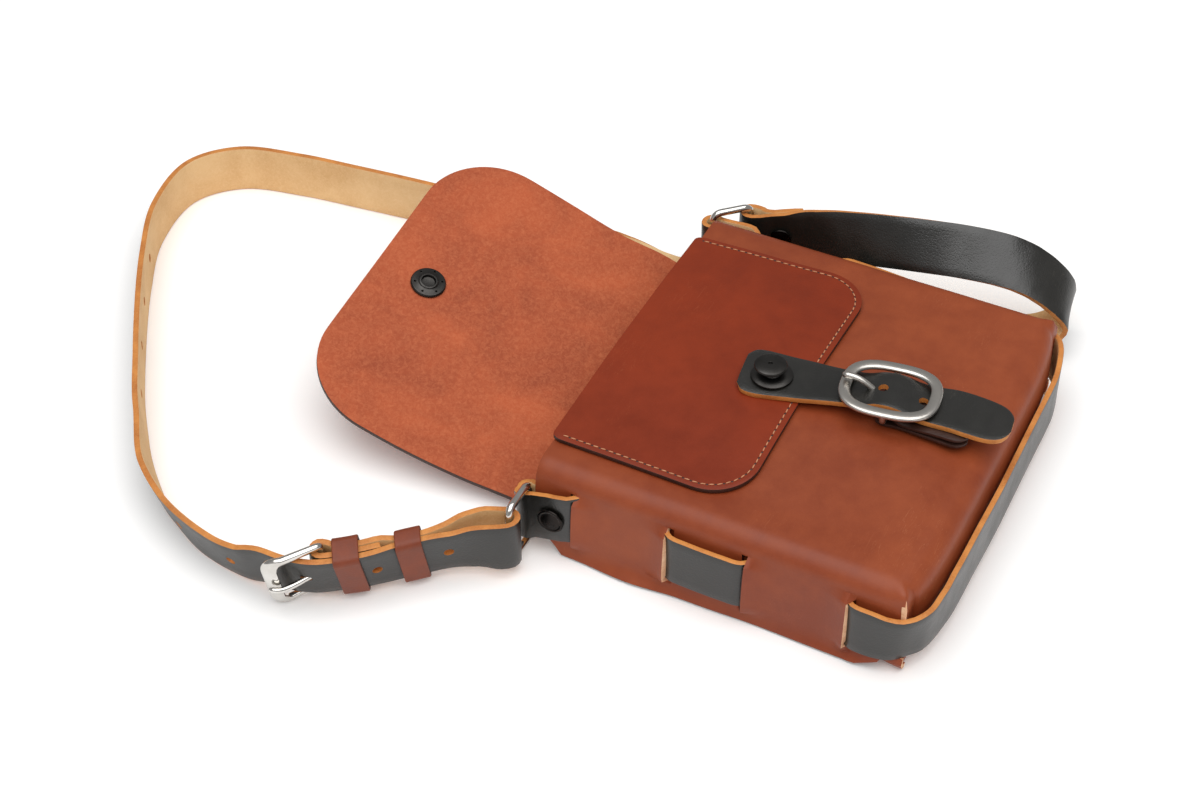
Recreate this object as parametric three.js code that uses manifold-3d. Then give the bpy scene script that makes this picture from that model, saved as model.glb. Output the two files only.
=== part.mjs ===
// A small leather cross-body bag lying on its back: front panel up, flap open, strap laid round it.
// Millimetres. X runs from the near side to the far side, Y from the bottom fold to the flap, Z is up.
import * as THREE from "three";
import { mergeVertices } from "three/addons/utils/BufferGeometryUtils.js";
import Module from "manifold-3d";

const wasm = await Module();
wasm.setup();

// Bag body
const BODY_LENGTH = 166;
const BODY_DEPTH = 45;
const NEAR_HALF = { bottom: 92.6, mouth: 90.5 };
const FAR_HALF = { bottom: 97.5, mouth: 99 };
const FOLD = 9;
const CORNER = 6;
const LEATHER = 2.4;
const BACK_LEATHER = 2.2;
const GAP = 0.4;
const WALL_LEAN = 1.5;
const BACK_WALL_TOP = 33;
const BACK_WALL_END = 117;
const REST_CENTRE = 83;

// Straps
const STRAP_WIDTH = 24.5;
const STRAP_THICK = 2.5;
const HARNESS_Z = 20.2;
const HOLE = 2.2;

// Rings
const RING_WIRE = 1.75;
const RING_HALF_TALL = 15.3;
const RING_CORNER = 4;
const NEAR_RING_Z = 18.8;
const FAR_RING_Z = 27.8;

// Closing tab, turned a little from the bag's length
const TAB_X = 3.5;
const TAB_Y = 45.5;
const TAB_TURN = 0.14;
const TAB_THICK = 2.5;

// Doubled end of the shoulder strap: origin at the ring bend, along the strap, and out of its face
const REIN = new THREE.Vector2(-103.6, 171.7);
const REIN_ALONG = new THREE.Vector2(-0.58, 0.8146);
const REIN_OUT = new THREE.Vector2(-0.8146, -0.58);
const HEEL = { d: 79.7, n: 2.7, z: 17.3 };

const BROWN = 0x8c4526;
const RED_BROWN = 0x7c3822;
const BLACK = 0x2a2825;
const NICKEL = 0xc8c5be;
const GUNMETAL = 0x33312e;

// Flare of the side walls' lower hem and crown of the front panel along the bag.
const BODY_ROWS = [
  { y: -4, flare: 2.6, crown: 0 },
  { y: 9, flare: 3.2, crown: 0 },
  { y: 26, flare: 3.3, crown: 1.9 },
  { y: 60, flare: 1.5, crown: 3.7 },
  { y: 98, flare: 2.4, crown: 4 },
  { y: 120, flare: 4.6, crown: 3.7 },
  { y: 142, flare: 2.2, crown: 3 },
  { y: 166, flare: 0.8, crown: 2 },
];

// Flap: height of its upper face on the middle line, rise toward the far side, half widths on the near and far side.
const FLAP_ROWS = [
  { y: 128, height: 2.2, tilt: 0, half: 77, far: 77 },
  { y: 146, height: 2.4, tilt: 0, half: 77, far: 79 },
  { y: 166, height: 7, tilt: 0.03, half: 77.3, far: 88 },
  { y: 186, height: 13, tilt: 0.07, half: 78, far: 87.8 },
  { y: 208, height: 20, tilt: 0.1, half: 80.5, far: 83.2 },
  { y: 235, height: 28.5, tilt: 0.12, half: 82.3, far: 82.3 },
  { y: 267, height: 38.3, tilt: 0.13, half: 82.5, far: 82.5 },
  { y: 292.5, height: 45.5, tilt: 0.13, half: 82.5, far: 82.5 },
];
const FLAP_END = 292.5;
const FLAP_CORNER = 36;

// Lacing strap, one side: distance outward from the wall's outer face, inside where it is negative.
const LACE_ROWS = [
  { y: 153, off: 1.9 },
  { y: 149, off: 1.2 },
  { y: 145.2, off: -2.6 },
  { y: 141.4, off: -6.6 },
  { y: 135, off: -7.9 },
  { y: 118, off: -7.9 },
  { y: 111.5, off: -7 },
  { y: 107, off: -2.8 },
  { y: 102.5, off: 1.4 },
  { y: 95, off: 2.1 },
  { y: 79, off: 2.1 },
  { y: 71, off: 1.4 },
  { y: 66.5, off: -2.8 },
  { y: 62, off: -7 },
  { y: 54, off: -7.9 },
  { y: 39, off: -7.9 },
  { y: 31, off: -7 },
  { y: 26.5, off: -2.8 },
  { y: 22, off: 1.4 },
  { y: 14, off: 2.1 },
];

// Lacing strap round the bottom, near side first: it stands off the bottom wall.
const LACE_BOTTOM_ROWS = [
  { x: -95.9, y: 6 },
  { x: -94.6, y: 0.9 },
  { x: -91.1, y: -2.9 },
  { x: -84.4, y: -6.6 },
  { x: -72, y: -8.1 },
  { x: -58, y: -8.7 },
  { x: -33, y: -9 },
  { x: -6, y: -9.4 },
  { x: 14, y: -9.2 },
  { x: 41, y: -8.9 },
  { x: 62, y: -8.8 },
  { x: 71, y: -8.5 },
  { x: 78, y: -7.6 },
  { x: 85, y: -6.2 },
  { x: 91, y: -4.6 },
  { x: 95.9, y: -2.3 },
  { x: 99.4, y: 1.2 },
  { x: 101, y: 6.5 },
];

// End of the lacing strap at the mouth: tail inside the wall, round the ring wire and back along the outside.
const LACE_END_ROWS = [
  { y: 152.5, off: -4.5 },
  { y: 159, off: -4.5 },
  { y: 165, off: -4.45 },
  { y: 169.2, off: -5.2 },
  { y: 172.25, off: -4.1 },
  { y: 173.4, off: -1.2 },
  { y: 172.25, off: 1.7 },
  { y: 169.2, off: 2.8 },
  { y: 165, off: 2.1 },
  { y: 158.5, off: 1.9 },
];
const WIRE = { y: 169.2, off: -1.2 };

// Height of the lacing strap's middle line on each side: its rise along the wall and its drop at the mouth.
const LACE_RISE = { near: 3.3, far: 8, top: 150, nearDrop: 0.24, farDrop: 0.08 };

// Doubled end of the shoulder strap, from its cut tail round the heel bar and the ring to the buckle.
const REIN_ROWS = [
  { d: 56, n: 7.3, z: 17.3 },
  { d: 62, n: 6.65, z: 17.3 },
  { d: 72, n: 6.25, z: 17.3 },
  { d: 78, n: 6.1, z: 17.3 },
  { d: 81.2, n: 5.7, z: 17.3 },
  { d: 83, n: 3.6, z: 17.3 },
  { d: 82.6, n: 1, z: 17.3 },
  { d: 80.2, n: -0.7, z: 17.3 },
  { d: 76.5, n: 0.2, z: 17.3 },
  { d: 73, n: 2.3, z: 17.3 },
  { d: 67, n: 3.3, z: 17.3 },
  { d: 61, n: 3.6, z: 17.3 },
  { d: 55, n: 4.3, z: 17.4 },
  { d: 48, n: 7.1, z: 17.5 },
  { d: 42, n: 7.9, z: 17.6 },
  { d: 35, n: 7.9, z: 17.8 },
  { d: 28, n: 6.9, z: 18 },
  { d: 19, n: 4.2, z: 18.2 },
  { d: 10.4, n: 2, z: 18.3 },
  { d: 4.4, n: 1.2, z: 18.3 },
  { d: 0.4, n: 1.7, z: 18.3 },
  { d: -2.2, n: 4.3, z: 18.3 },
  { d: -2.4, n: 7.6, z: 18.3 },
  { d: 0.2, n: 10.6, z: 18.3 },
  { d: 5.4, n: 12, z: 18.3 },
  { d: 15, n: 12.6, z: 18.2 },
  { d: 26, n: 12.2, z: 18 },
  { d: 36, n: 11.2, z: 17.8 },
  { d: 48, n: 10.4, z: 17.4 },
  { d: 62, n: 9.6, z: 17.3 },
  { d: 74, n: 9.1, z: 17.3 },
  { d: 84, n: 8.6, z: 17.2 },
  { d: 94, n: 6.4, z: 16.6 },
  { d: 104, n: 3.4, z: 15 },
];
const NEAR_WIRE = { d: 1.25, n: 6.34 };

// Lean of that doubled end and its fittings: turn outward in degrees, sideways shift and lift.
const REIN_LEAN = [
  { d: 3, tilt: 0, shift: 0, lift: 0 },
  { d: 9, tilt: 2, shift: -2.2, lift: 0.2 },
  { d: 16, tilt: 7, shift: -4.2, lift: 0.4 },
  { d: 26, tilt: 12, shift: -4, lift: 0.5 },
  { d: 36, tilt: 11, shift: -2, lift: 0.5 },
  { d: 48, tilt: 11, shift: 0.5, lift: 0.5 },
  { d: 62, tilt: 14, shift: 4, lift: 0.6 },
  { d: 74, tilt: 16, shift: 5.5, lift: 0.7 },
  { d: 84, tilt: 16, shift: 5.5, lift: 0.7 },
  { d: 94, tilt: 16, shift: 4, lift: 0.7 },
  { d: 104, tilt: 15, shift: 0, lift: 0.2 },
];
const REIN_PIVOT = { n: 7, z: 17.3 };

// Shoulder strap after the buckle: centre line, and the direction of its edge (ex, ey, ez).
const LOOP_ROWS = [
  { x: -166.3, y: 264, z: 13.6, ex: -0.28, ey: 0, ez: 0.96 },
  { x: -165.2, y: 275, z: 12.6, ex: -0.3, ey: 0, ez: 0.95 },
  { x: -161, y: 292, z: 12.4, ex: -0.26, ey: 0.09, ez: 0.96 },
  { x: -154, y: 307.5, z: 12.4, ex: -0.26, ey: 0.14, ez: 0.95 },
  { x: -140.5, y: 327.5, z: 12.4, ex: -0.2, ey: 0.16, ez: 0.97 },
  { x: -114, y: 350.5, z: 12.5, ex: -0.06, ey: 0.05, ez: 1 },
  { x: -84, y: 372, z: 12.5, ex: 0, ey: 0, ez: 1 },
  { x: -22, y: 410, z: 12.5, ex: 0, ey: 0, ez: 1 },
  { x: 13, y: 426, z: 12.5, ex: 0, ey: 0, ez: 1 },
  { x: 47, y: 428.6, z: 12.5, ex: 0, ey: 0, ez: 1 },
  { x: 67, y: 412, z: 12.5, ex: 0, ey: 0, ez: 1 },
  { x: 75, y: 382, z: 12.5, ex: 0, ey: 0, ez: 1 },
  { x: 78.4, y: 355, z: 12.5, ex: 0, ey: 0, ez: 1 },
  { x: 83.3, y: 305, z: 12.5, ex: 0, ey: 0, ez: 1 },
  { x: 85, y: 250, z: 12.5, ex: 0, ey: 0, ez: 1 },
  { x: 85.4, y: 228, z: 12.5, ex: 0.12, ey: 0, ez: 0.99 },
  { x: 85, y: 213, z: 12, ex: 0.4, ey: 0, ez: 0.92 },
  { x: 84.3, y: 201.5, z: 10.7, ex: 0.62, ey: 0.03, ez: 0.78 },
  { x: 83.6, y: 191, z: 9.3, ex: 0.75, ey: 0.06, ez: 0.66 },
  { x: 85.9, y: 180.5, z: 7.8, ex: 0.84, ey: 0.16, ez: 0.52 },
  { x: 92.5, y: 172.5, z: 6.3, ex: 0.72, ey: 0.56, ez: 0.38 },
  { x: 101.5, y: 166.5, z: 5.5, ex: 0.56, ey: 0.78, ez: 0.29 },
  { x: 109.3, y: 160.2, z: 5.1, ex: 0.66, ey: 0.7, ez: 0.26 },
  { x: 114.4, y: 149.5, z: 5, ex: 0.93, ey: 0.28, ez: 0.25 },
  { x: 116.4, y: 132, z: 5, ex: 0.97, ey: 0.05, ez: 0.24 },
  { x: 116.4, y: 112, z: 5, ex: 0.97, ey: 0.05, ez: 0.24 },
  { x: 117.4, y: 78, z: 5, ex: 0.97, ey: -0.04, ez: 0.24 },
  { x: 116.6, y: 55, z: 4.9, ex: 0.97, ey: 0.06, ez: 0.23 },
  { x: 120.4, y: 33.5, z: 4.4, ex: 0.96, ey: 0.21, ez: 0.16 },
  { x: 124.2, y: 22.4, z: 4.9, ex: 0.93, ey: 0.35, ez: 0.04 },
  { x: 128.4, y: 13, z: 8, ex: 0.92, ey: 0.38, ez: -0.04 },
  { x: 131.3, y: 6.9, z: 12.8, ex: 0.93, ey: 0.36, ez: -0.06 },
  { x: 132.5, y: 4.3, z: 17.2, ex: 0.96, ey: 0.26, ez: -0.03 },
  { x: 132.5, y: 4.3, z: 22, ex: 0.99, ey: 0.09, ez: 0.07 },
  { x: 131.8, y: 6.5, z: 26.6, ex: 0.98, ey: 0.01, ez: 0.18 },
  { x: 130.5, y: 11.4, z: 32.1, ex: 0.96, ey: -0.01, ez: 0.28 },
  { x: 128.7, y: 18.9, z: 37.8, ex: 0.92, ey: -0.02, ez: 0.38 },
  { x: 126.9, y: 26, z: 41.5, ex: 0.86, ey: 0.02, ez: 0.51 },
  { x: 124.5, y: 35.7, z: 44.3, ex: 0.77, ey: 0.08, ez: 0.64 },
  { x: 120.4, y: 52.9, z: 46, ex: 0.66, ey: 0.11, ez: 0.74 },
  { x: 116.7, y: 70.26, z: 45.98, ex: 0.54, ey: 0.09, ez: 0.84 },
  { x: 114.94, y: 88.25, z: 43.8, ex: 0.43, ey: 0.05, ez: 0.9 },
  { x: 114.36, y: 108.23, z: 40, ex: 0.3, ey: 0.02, ez: 0.95 },
  { x: 113.94, y: 122.35, z: 36.8, ex: 0.14, ey: 0, ez: 0.99 },
  { x: 113.7, y: 133, z: 33.2, ex: 0, ey: 0, ez: 1 },
  { x: 112.4, y: 138.4, z: 31.8, ex: 0, ey: 0, ez: 1 },
  { x: 111.1, y: 144.2, z: 30.2, ex: 0, ey: 0, ez: 1 },
  { x: 109.4, y: 149.7, z: 29, ex: 0, ey: 0, ez: 1 },
  { x: 108.3, y: 154.7, z: 28.4, ex: 0, ey: 0, ez: 1 },
  { x: 109.8, y: 158.6, z: 28.2, ex: 0, ey: 0, ez: 1 },
  { x: 113.2, y: 159.6, z: 28.2, ex: 0, ey: 0, ez: 1 },
  { x: 116.2, y: 157.4, z: 28.2, ex: 0, ey: 0, ez: 1 },
  { x: 116.6, y: 152.2, z: 28.4, ex: 0, ey: 0, ez: 1 },
  { x: 115, y: 147.2, z: 29, ex: 0, ey: 0, ez: 1 },
  { x: 114.4, y: 144, z: 30.2, ex: 0, ey: 0, ez: 1 },
  { x: 115.5, y: 138.4, z: 31.8, ex: 0, ey: 0, ez: 1 },
  { x: 116.8, y: 133, z: 33.2, ex: 0, ey: 0, ez: 1 },
  { x: 117.7, y: 129.5, z: 33.8, ex: 0, ey: 0, ez: 1 },
];
const FAR_WIRE = { x: 112.4, y: 155.4 };
const STRAP_RIVET = { x: 113.5, y: 140, z: 31.3 };

// Punched holes of the shoulder strap: points on its middle line.
const STRAP_HOLES = [
  { x: -129.1, y: 186.7, z: 18.4, lean: true },
  { x: -145, y: 212.8, z: 16.8, lean: true },
  { x: -165.6, y: 270, z: 13 },
  { x: -157.2, y: 301, z: 12.4 },
  { x: -97, y: 363, z: 12.5 },
  { x: -69, y: 381.4, z: 12.5 },
  { x: -42, y: 398, z: 12.5 },
  { x: -14, y: 414, z: 12.5 },
];

// Closing tab: distance from the centre bar toward the stud, half width, height of its lower face.
const TAB_ROWS = [
  { v: -53, half: 3.6, z: 54.6 },
  { v: -52, half: 6.4, z: 54.5 },
  { v: -49, half: 9.8, z: 54.2 },
  { v: -44, half: 11.7, z: 53.9 },
  { v: -36, half: 12.4, z: 53.6 },
  { v: -28, half: 12.3, z: 53.4 },
  { v: -19, half: 11.6, z: 53.3 },
  { v: -12, half: 11.1, z: 54.1 },
  { v: -5, half: 10.8, z: 56.2 },
  { v: 0, half: 10.7, z: 56.8 },
  { v: 5, half: 10.6, z: 56.2 },
  { v: 11, half: 10.5, z: 54.1 },
  { v: 19, half: 10.6, z: 53.2 },
  { v: 28, half: 11.4, z: 52.6 },
  { v: 36, half: 12.4, z: 52.2 },
  { v: 45, half: 13.2, z: 51.9 },
  { v: 52, half: 14, z: 51.8 },
  { v: 58, half: 14.2, z: 51.8 },
  { v: 62, half: 13, z: 51.9 },
  { v: 64.5, half: 9.5, z: 52 },
];
const TAB_HOLES = [{ v: 3.2 }, { v: -14.5 }];
const TAB_BAR_Z = 51.95;
const TAB_FRAME_Z = 58.6;
const STUD_U = -2;
const STUD_V = 51;

// A geometry as a solid for cutting and joining.
function solid(geometry) {
  const bare = geometry.index ? geometry.toNonIndexed() : geometry;
  const plain = new THREE.BufferGeometry();
  plain.setAttribute("position", bare.getAttribute("position"));
  const merged = mergeVertices(plain, 1e-3);
  const vertProperties = merged.attributes.position.array;
  const triVerts = new Uint32Array(merged.index.array);
  return new wasm.Manifold(new wasm.Mesh({ numProp: 3, vertProperties, triVerts }));
}

// A solid back as a geometry.
function geometryOf(body) {
  const mesh = body.getMesh();
  const geometry = new THREE.BufferGeometry();
  geometry.setAttribute("position", new THREE.BufferAttribute(mesh.vertProperties, 3));
  geometry.setIndex(new THREE.BufferAttribute(mesh.triVerts, 1));
  return geometry;
}

// A closed surface from points and triangles, turned so that its faces point outward.
function closed(points, faces) {
  const a = new THREE.Vector3();
  let volume = 0;
  for (const [i, j, k] of faces) {
    volume += a.crossVectors(points[i], points[j]).dot(points[k]);
  }
  const geometry = new THREE.BufferGeometry().setFromPoints(points);
  geometry.setIndex((volume > 0 ? faces : faces.map(([i, j, k]) => [i, k, j])).flat());
  return geometry;
}

// A wall between two sheets of points that share their rows and columns.
function wall(rows, cols, outer, inner) {
  const points = [];
  const faces = [];
  const at = (sheet, i, j) => (sheet * (rows + 1) + i) * (cols + 1) + j;
  const quad = (a, b, c, d) => faces.push([a, b, c], [a, c, d]);
  for (const sheet of [outer, inner]) {
    for (let i = 0; i <= rows; i++) {
      for (let j = 0; j <= cols; j++) {
        points.push(sheet(i, j));
      }
    }
  }
  for (let i = 0; i < rows; i++) {
    for (let j = 0; j < cols; j++) {
      quad(at(0, i, j), at(0, i + 1, j), at(0, i + 1, j + 1), at(0, i, j + 1));
      quad(at(1, i, j), at(1, i, j + 1), at(1, i + 1, j + 1), at(1, i + 1, j));
    }
    quad(at(0, i, 0), at(1, i, 0), at(1, i + 1, 0), at(0, i + 1, 0));
    quad(at(0, i, cols), at(0, i + 1, cols), at(1, i + 1, cols), at(1, i, cols));
  }
  for (let j = 0; j < cols; j++) {
    quad(at(0, 0, j), at(0, 0, j + 1), at(1, 0, j + 1), at(1, 0, j));
    quad(at(0, rows, j), at(1, rows, j), at(1, rows, j + 1), at(0, rows, j + 1));
  }
  return closed(points, faces);
}

// A solid through closed outlines in x and z, one for each station along Y.
function loft(stations, outline) {
  const sections = stations.map((y) => outline(y));
  const count = sections[0].length;
  const points = [];
  const faces = [];
  sections.forEach((section, i) => {
    section.forEach((p) => points.push(new THREE.Vector3(p.x, stations[i], p.y)));
  });
  for (let i = 0; i + 1 < sections.length; i++) {
    for (let j = 0; j < count; j++) {
      const k = (j + 1) % count;
      const a = i * count;
      const b = a + count;
      faces.push([a + j, b + j, b + k], [a + j, b + k, a + k]);
    }
  }
  const start = THREE.ShapeUtils.isClockWise(sections[0]) ? -1 : 1;
  for (const end of [0, sections.length - 1]) {
    const turn = (end === 0 ? 1 : -1) * start;
    for (const [p, q, r] of THREE.ShapeUtils.triangulateShape(sections[end], [])) {
      const base = end * count;
      const flip = turn > 0 ? [base + p, base + q, base + r] : [base + p, base + r, base + q];
      faces.push(flip);
    }
  }
  return closed(points, faces);
}

// A ring swept round a closed row of centres, with a section of points out of (across, up) each.
function hoop(frames, section) {
  const count = section.length;
  const points = [];
  const faces = [];
  for (const { p, across, up } of frames) {
    for (const s of section) {
      points.push(p.clone().addScaledVector(across, s.x).addScaledVector(up, s.y));
    }
  }
  frames.forEach((frame, i) => {
    const a = i * count;
    const b = ((i + 1) % frames.length) * count;
    for (let j = 0; j < count; j++) {
      const k = (j + 1) % count;
      faces.push([a + j, b + j, b + k], [a + j, b + k, a + k]);
    }
  });
  return closed(points, faces);
}

// A round bar along a row of points.
function rod(points, radius, sides) {
  const path = new THREE.CatmullRomCurve3(points, false, "centripetal");
  const section = new THREE.Shape().absarc(0, 0, radius, 0, Math.PI * 2);
  const options = { steps: Math.round(points.length * 1.5), curveSegments: sides, extrudePath: path };
  return new THREE.ExtrudeGeometry(section, { ...options, bevelEnabled: false });
}

// A cylinder between two points.
function pin(from, to, radius) {
  const axis = to.clone().sub(from);
  const geometry = new THREE.CylinderGeometry(radius, radius, axis.length(), 10);
  const turn = new THREE.Quaternion().setFromUnitVectors(
    new THREE.Vector3(0, 1, 0),
    axis.clone().normalize(),
  );
  const middle = from.clone().lerp(to, 0.5);
  geometry.applyMatrix4(new THREE.Matrix4().compose(middle, turn, new THREE.Vector3(1, 1, 1)));
  return geometry;
}

// A turned part standing at a point with its axis along a direction.
function turned(profile, at, axis) {
  const geometry = new THREE.LatheGeometry(
    profile.map((p) => new THREE.Vector2(p.r, p.h)),
    14,
  );
  const turn = new THREE.Quaternion().setFromUnitVectors(new THREE.Vector3(0, 1, 0), axis);
  geometry.applyMatrix4(new THREE.Matrix4().compose(at, turn, new THREE.Vector3(1, 1, 1)));
  return geometry;
}

// A plate from an outline in two axes, pushed through the third.
function plate(points, from, to, axis) {
  const shape = new THREE.Shape(points.map(([a, b]) => new THREE.Vector2(a, b)));
  const geometry = new THREE.ExtrudeGeometry(shape, { depth: to - from, bevelEnabled: false });
  geometry.translate(0, 0, from);
  if (axis === "x") {
    geometry.rotateX(Math.PI / 2);
    geometry.rotateZ(Math.PI / 2);
  }
  return geometry;
}

// A column of a table as a smooth function of its first column.
function eased(rows, key, column) {
  const knots = rows.map((row) => row[key]);
  const values = rows.map((row) => row[column]);
  const curve = new THREE.CubicInterpolant(knots, values, 1, [0]);
  return (t) => curve.evaluate(t)[0];
}

// Frames along a strap: eased centres, and its edge direction square to the run.
function strapFrames(rows, step) {
  const centres = rows.map((r) => new THREE.Vector3(r.x, r.y, r.z));
  const curve = new THREE.CatmullRomCurve3(centres, false, "centripetal");
  const edges = rows.map((r) => new THREE.Vector3(r.ex ?? 0, r.ey ?? 0, r.ez ?? 1));
  const last = rows.length - 1;
  const frames = [];
  for (let i = 0; i < last; i++) {
    const parts = Math.max(1, Math.round(centres[i].distanceTo(centres[i + 1]) / step));
    for (let k = 0; k < parts + (i === last - 1 ? 1 : 0); k++) {
      const t = (i + k / parts) / last;
      const run = curve.getTangent(t);
      const edge = edges[i].clone().lerp(edges[i + 1], k / parts);
      edge.addScaledVector(run, -edge.dot(run)).normalize();
      frames.push({ p: curve.getPoint(t), edge, face: edge.clone().cross(run) });
    }
  }
  return frames;
}

function strap(frames, width, thick) {
  const side = (sign) => (i, j) =>
    frames[i].p
      .clone()
      .addScaledVector(frames[i].face, (sign * thick) / 2)
      .addScaledVector(frames[i].edge, (j - 0.5) * width);
  return wall(frames.length - 1, 1, side(1), side(-1));
}

const flareAt = eased(BODY_ROWS, "y", "flare");
const crownAt = eased(BODY_ROWS, "y", "crown");
// Half widths of the body at the top fold and at the walls, on the near side (-1) and the far side (1).
function topHalf(y, side) {
  const { bottom, mouth } = side > 0 ? FAR_HALF : NEAR_HALF;
  return bottom + ((mouth - bottom) * y) / BODY_LENGTH;
}
const wallHalf = (y, side) => topHalf(y, side) + WALL_LEAN;
function laceHeight(y, side) {
  const rise = side > 0 ? LACE_RISE.far : LACE_RISE.near;
  const drop = side > 0 ? LACE_RISE.farDrop : LACE_RISE.nearDrop;
  const along = Math.min(LACE_RISE.top, Math.max(0, y));
  return HARNESS_Z + (rise * along) / LACE_RISE.top - drop * Math.max(0, y - LACE_RISE.top);
}

// Height of the front panel's outer face.
function panelTop(x, y) {
  const flat = topHalf(y, Math.sign(x)) - FOLD;
  const s = Math.min(1, Math.abs(x) / flat);
  return BODY_DEPTH + crownAt(y) * (1 - s * s) ** 2;
}

// Half of the front tray's cross-section, from the middle of the panel down to the hem.
function trayHalf(y, side, inset, low) {
  const half = topHalf(y, side);
  const flat = half - FOLD;
  const hem = flareAt(y) * (side > 0 ? 0.1 : 1);
  const run = [];
  for (let k = 0; k < 5; k++) {
    const x = (flat * k) / 5;
    run.push(new THREE.Vector2(x, panelTop(x, y) - inset));
  }
  for (let k = 0; k <= 4; k++) {
    const a = (Math.PI / 2) * (1 - k / 4);
    const r = FOLD - inset;
    run.push(new THREE.Vector2(flat + r * Math.cos(a), BODY_DEPTH - FOLD + r * Math.sin(a)));
  }
  run.push(new THREE.Vector2(half + 1.1 - inset, 20));
  run.push(new THREE.Vector2(half + WALL_LEAN - inset, 6.5));
  run.push(new THREE.Vector2(half + WALL_LEAN + hem * 0.45 - inset, 3.5));
  run.push(new THREE.Vector2(half + WALL_LEAN + hem - inset, low));
  return run.map((p) => new THREE.Vector2(side * p.x, p.y));
}

// Bottom wall of the front: it bulges out toward the lacing strap. Profile up the wall, and plan along it.
const BOTTOM_PROFILE = [
  { y: 0, z: -30 },
  { y: 0, z: 7 },
  { y: -2.8, z: 13 },
  { y: -5.2, z: 19 },
  { y: -6.2, z: 25 },
  { y: -6, z: 30.5 },
  { y: -4.3, z: 35 },
  { y: -1.2, z: 39 },
  { y: 2.8, z: 42.2 },
  { y: 7.2, z: 44.2 },
  { y: 12, z: 45 },
];
const BOTTOM_PLAN = [
  { x: -82, y: -2.6 },
  { x: -72, y: -4.8 },
  { x: -55, y: -6 },
  { x: -30, y: -6.5 },
  { x: 0, y: -6.6 },
  { x: 40, y: -6.5 },
  { x: 60, y: -6.1 },
  { x: 72, y: -5 },
  { x: 80, y: -3.6 },
  { x: 87, y: -1.8 },
];
const TRAY_STATIONS = [-9, 9, 22, 40, 62, 86, 106, 124, 144];

// The front tray as a block: cross-sections, folded down at the bottom end, round at the corners.
function trayBlock(inset, low, end) {
  const section = (y) => [
    ...trayHalf(y, -1, inset, low).reverse(),
    ...trayHalf(y, 1, inset, low).slice(1),
  ];
  const foldEdge = BOTTOM_PROFILE.map(({ y, z }, i) => {
    const before = BOTTOM_PROFILE[Math.max(0, i - 1)];
    const after = BOTTOM_PROFILE[Math.min(BOTTOM_PROFILE.length - 1, i + 1)];
    const run = new THREE.Vector2(after.y - before.y, after.z - before.z).normalize();
    return [y + inset * run.y, z - inset * run.x];
  });
  foldEdge.push([13, 70], [200, 70], [200, -30]);
  const planEdge = [[-140, CORNER]];
  for (const side of [-1, 1]) {
    const wide = wallHalf(0, side) - CORNER;
    for (let k = 0; k <= 3; k++) {
      const a = (Math.PI / 2) * (side < 0 ? k / 3 : 1 - k / 3);
      const r = CORNER - inset;
      planEdge.push([side * (wide + r * Math.cos(a)), CORNER - r * Math.sin(a)]);
    }
    if (side < 0) planEdge.push(...BOTTOM_PLAN.map(({ x, y }) => [x, y + inset]));
  }
  planEdge.push([140, CORNER], [140, 200], [-140, 200]);
  return solid(loft([...TRAY_STATIONS, end], section))
    .intersect(solid(plate(foldEdge, -150, 150, "x")))
    .intersect(solid(plate(planEdge, -40, 80, "z")));
}

// Lacing strap, from the near tail round the bottom to the far tail.
function laceSide(side) {
  return [...LACE_END_ROWS, ...LACE_ROWS].map((r) => ({
    x: side * (wallHalf(r.y, side) + r.off),
    y: r.y,
    z: laceHeight(r.y, side),
  }));
}
const laceRows = [
  ...laceSide(-1),
  ...LACE_BOTTOM_ROWS.map(({ x, y }) => ({ x, y, z: HARNESS_Z })),
  ...laceSide(1).reverse(),
];
const laceFrames = strapFrames(laceRows, 8);
const laceSlots = solid(strap(laceFrames, STRAP_WIDTH + 0.8, STRAP_THICK + 0.7));

// Rivets through the lacing strap's ends: outer cap, shank and inner cap.
const RIVET_Y = 156.4;
const RIVET_CAP = 6;
const rivetProfile = [
  { r: 0, h: -9.8 },
  { r: 3.6, h: -9.8 },
  { r: 4, h: -9.3 },
  { r: 4, h: -8.5 },
  { r: 1.8, h: -8.5 },
  { r: 1.8, h: 1.75 },
  { r: RIVET_CAP, h: 1.75 },
  { r: RIVET_CAP, h: 2.4 },
  { r: 5.2, h: 2.9 },
  { r: 4, h: 3.2 },
  { r: 2, h: 3.4 },
  { r: 0, h: 3.5 },
];
const rivets = [-1, 1].map((side) => {
  const out = wallHalf(RIVET_Y, side);
  const at = (reach) => new THREE.Vector3(side * (out + reach), RIVET_Y, laceHeight(RIVET_Y, side));
  return { at: at(2), from: at(-16), to: at(8), axis: new THREE.Vector3(side, 0, 0) };
});
const rivetHoles = rivets.map(({ from, to }) => solid(pin(from, to, 2.2)));

// Front tray
const hemCorners = [
  { edge: [[22, -20], [22, 0], [-2, 11], [-20, 11], [-20, -20]], from: -150, to: 150 },
  { edge: [[152, -20], [152, 0], [167, 14], [190, 14], [190, -20]], from: -150, to: 0 },
  { edge: [[148, -20], [148, 0], [166.5, 19.4], [190, 19.4], [190, -20]], from: 0, to: 150 },
];
let front = trayBlock(0, 0.6, BODY_LENGTH).subtract(trayBlock(LEATHER, -12, BODY_LENGTH + 12));
for (const { edge, from, to } of hemCorners) {
  front = front.subtract(solid(plate(edge, from, to, "x")));
}
for (const side of [-1, 1]) {
  const slit = new THREE.BoxGeometry(16, 0.9, 64);
  slit.rotateZ((side * -Math.PI) / 4);
  slit.translate(side * (wallHalf(0, side) - 2), 2, 8.5);
  front = front.subtract(solid(slit));
}
front = front.subtract(laceSlots);
rivetHoles.forEach((hole) => {
  front = front.subtract(hole);
});

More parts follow.
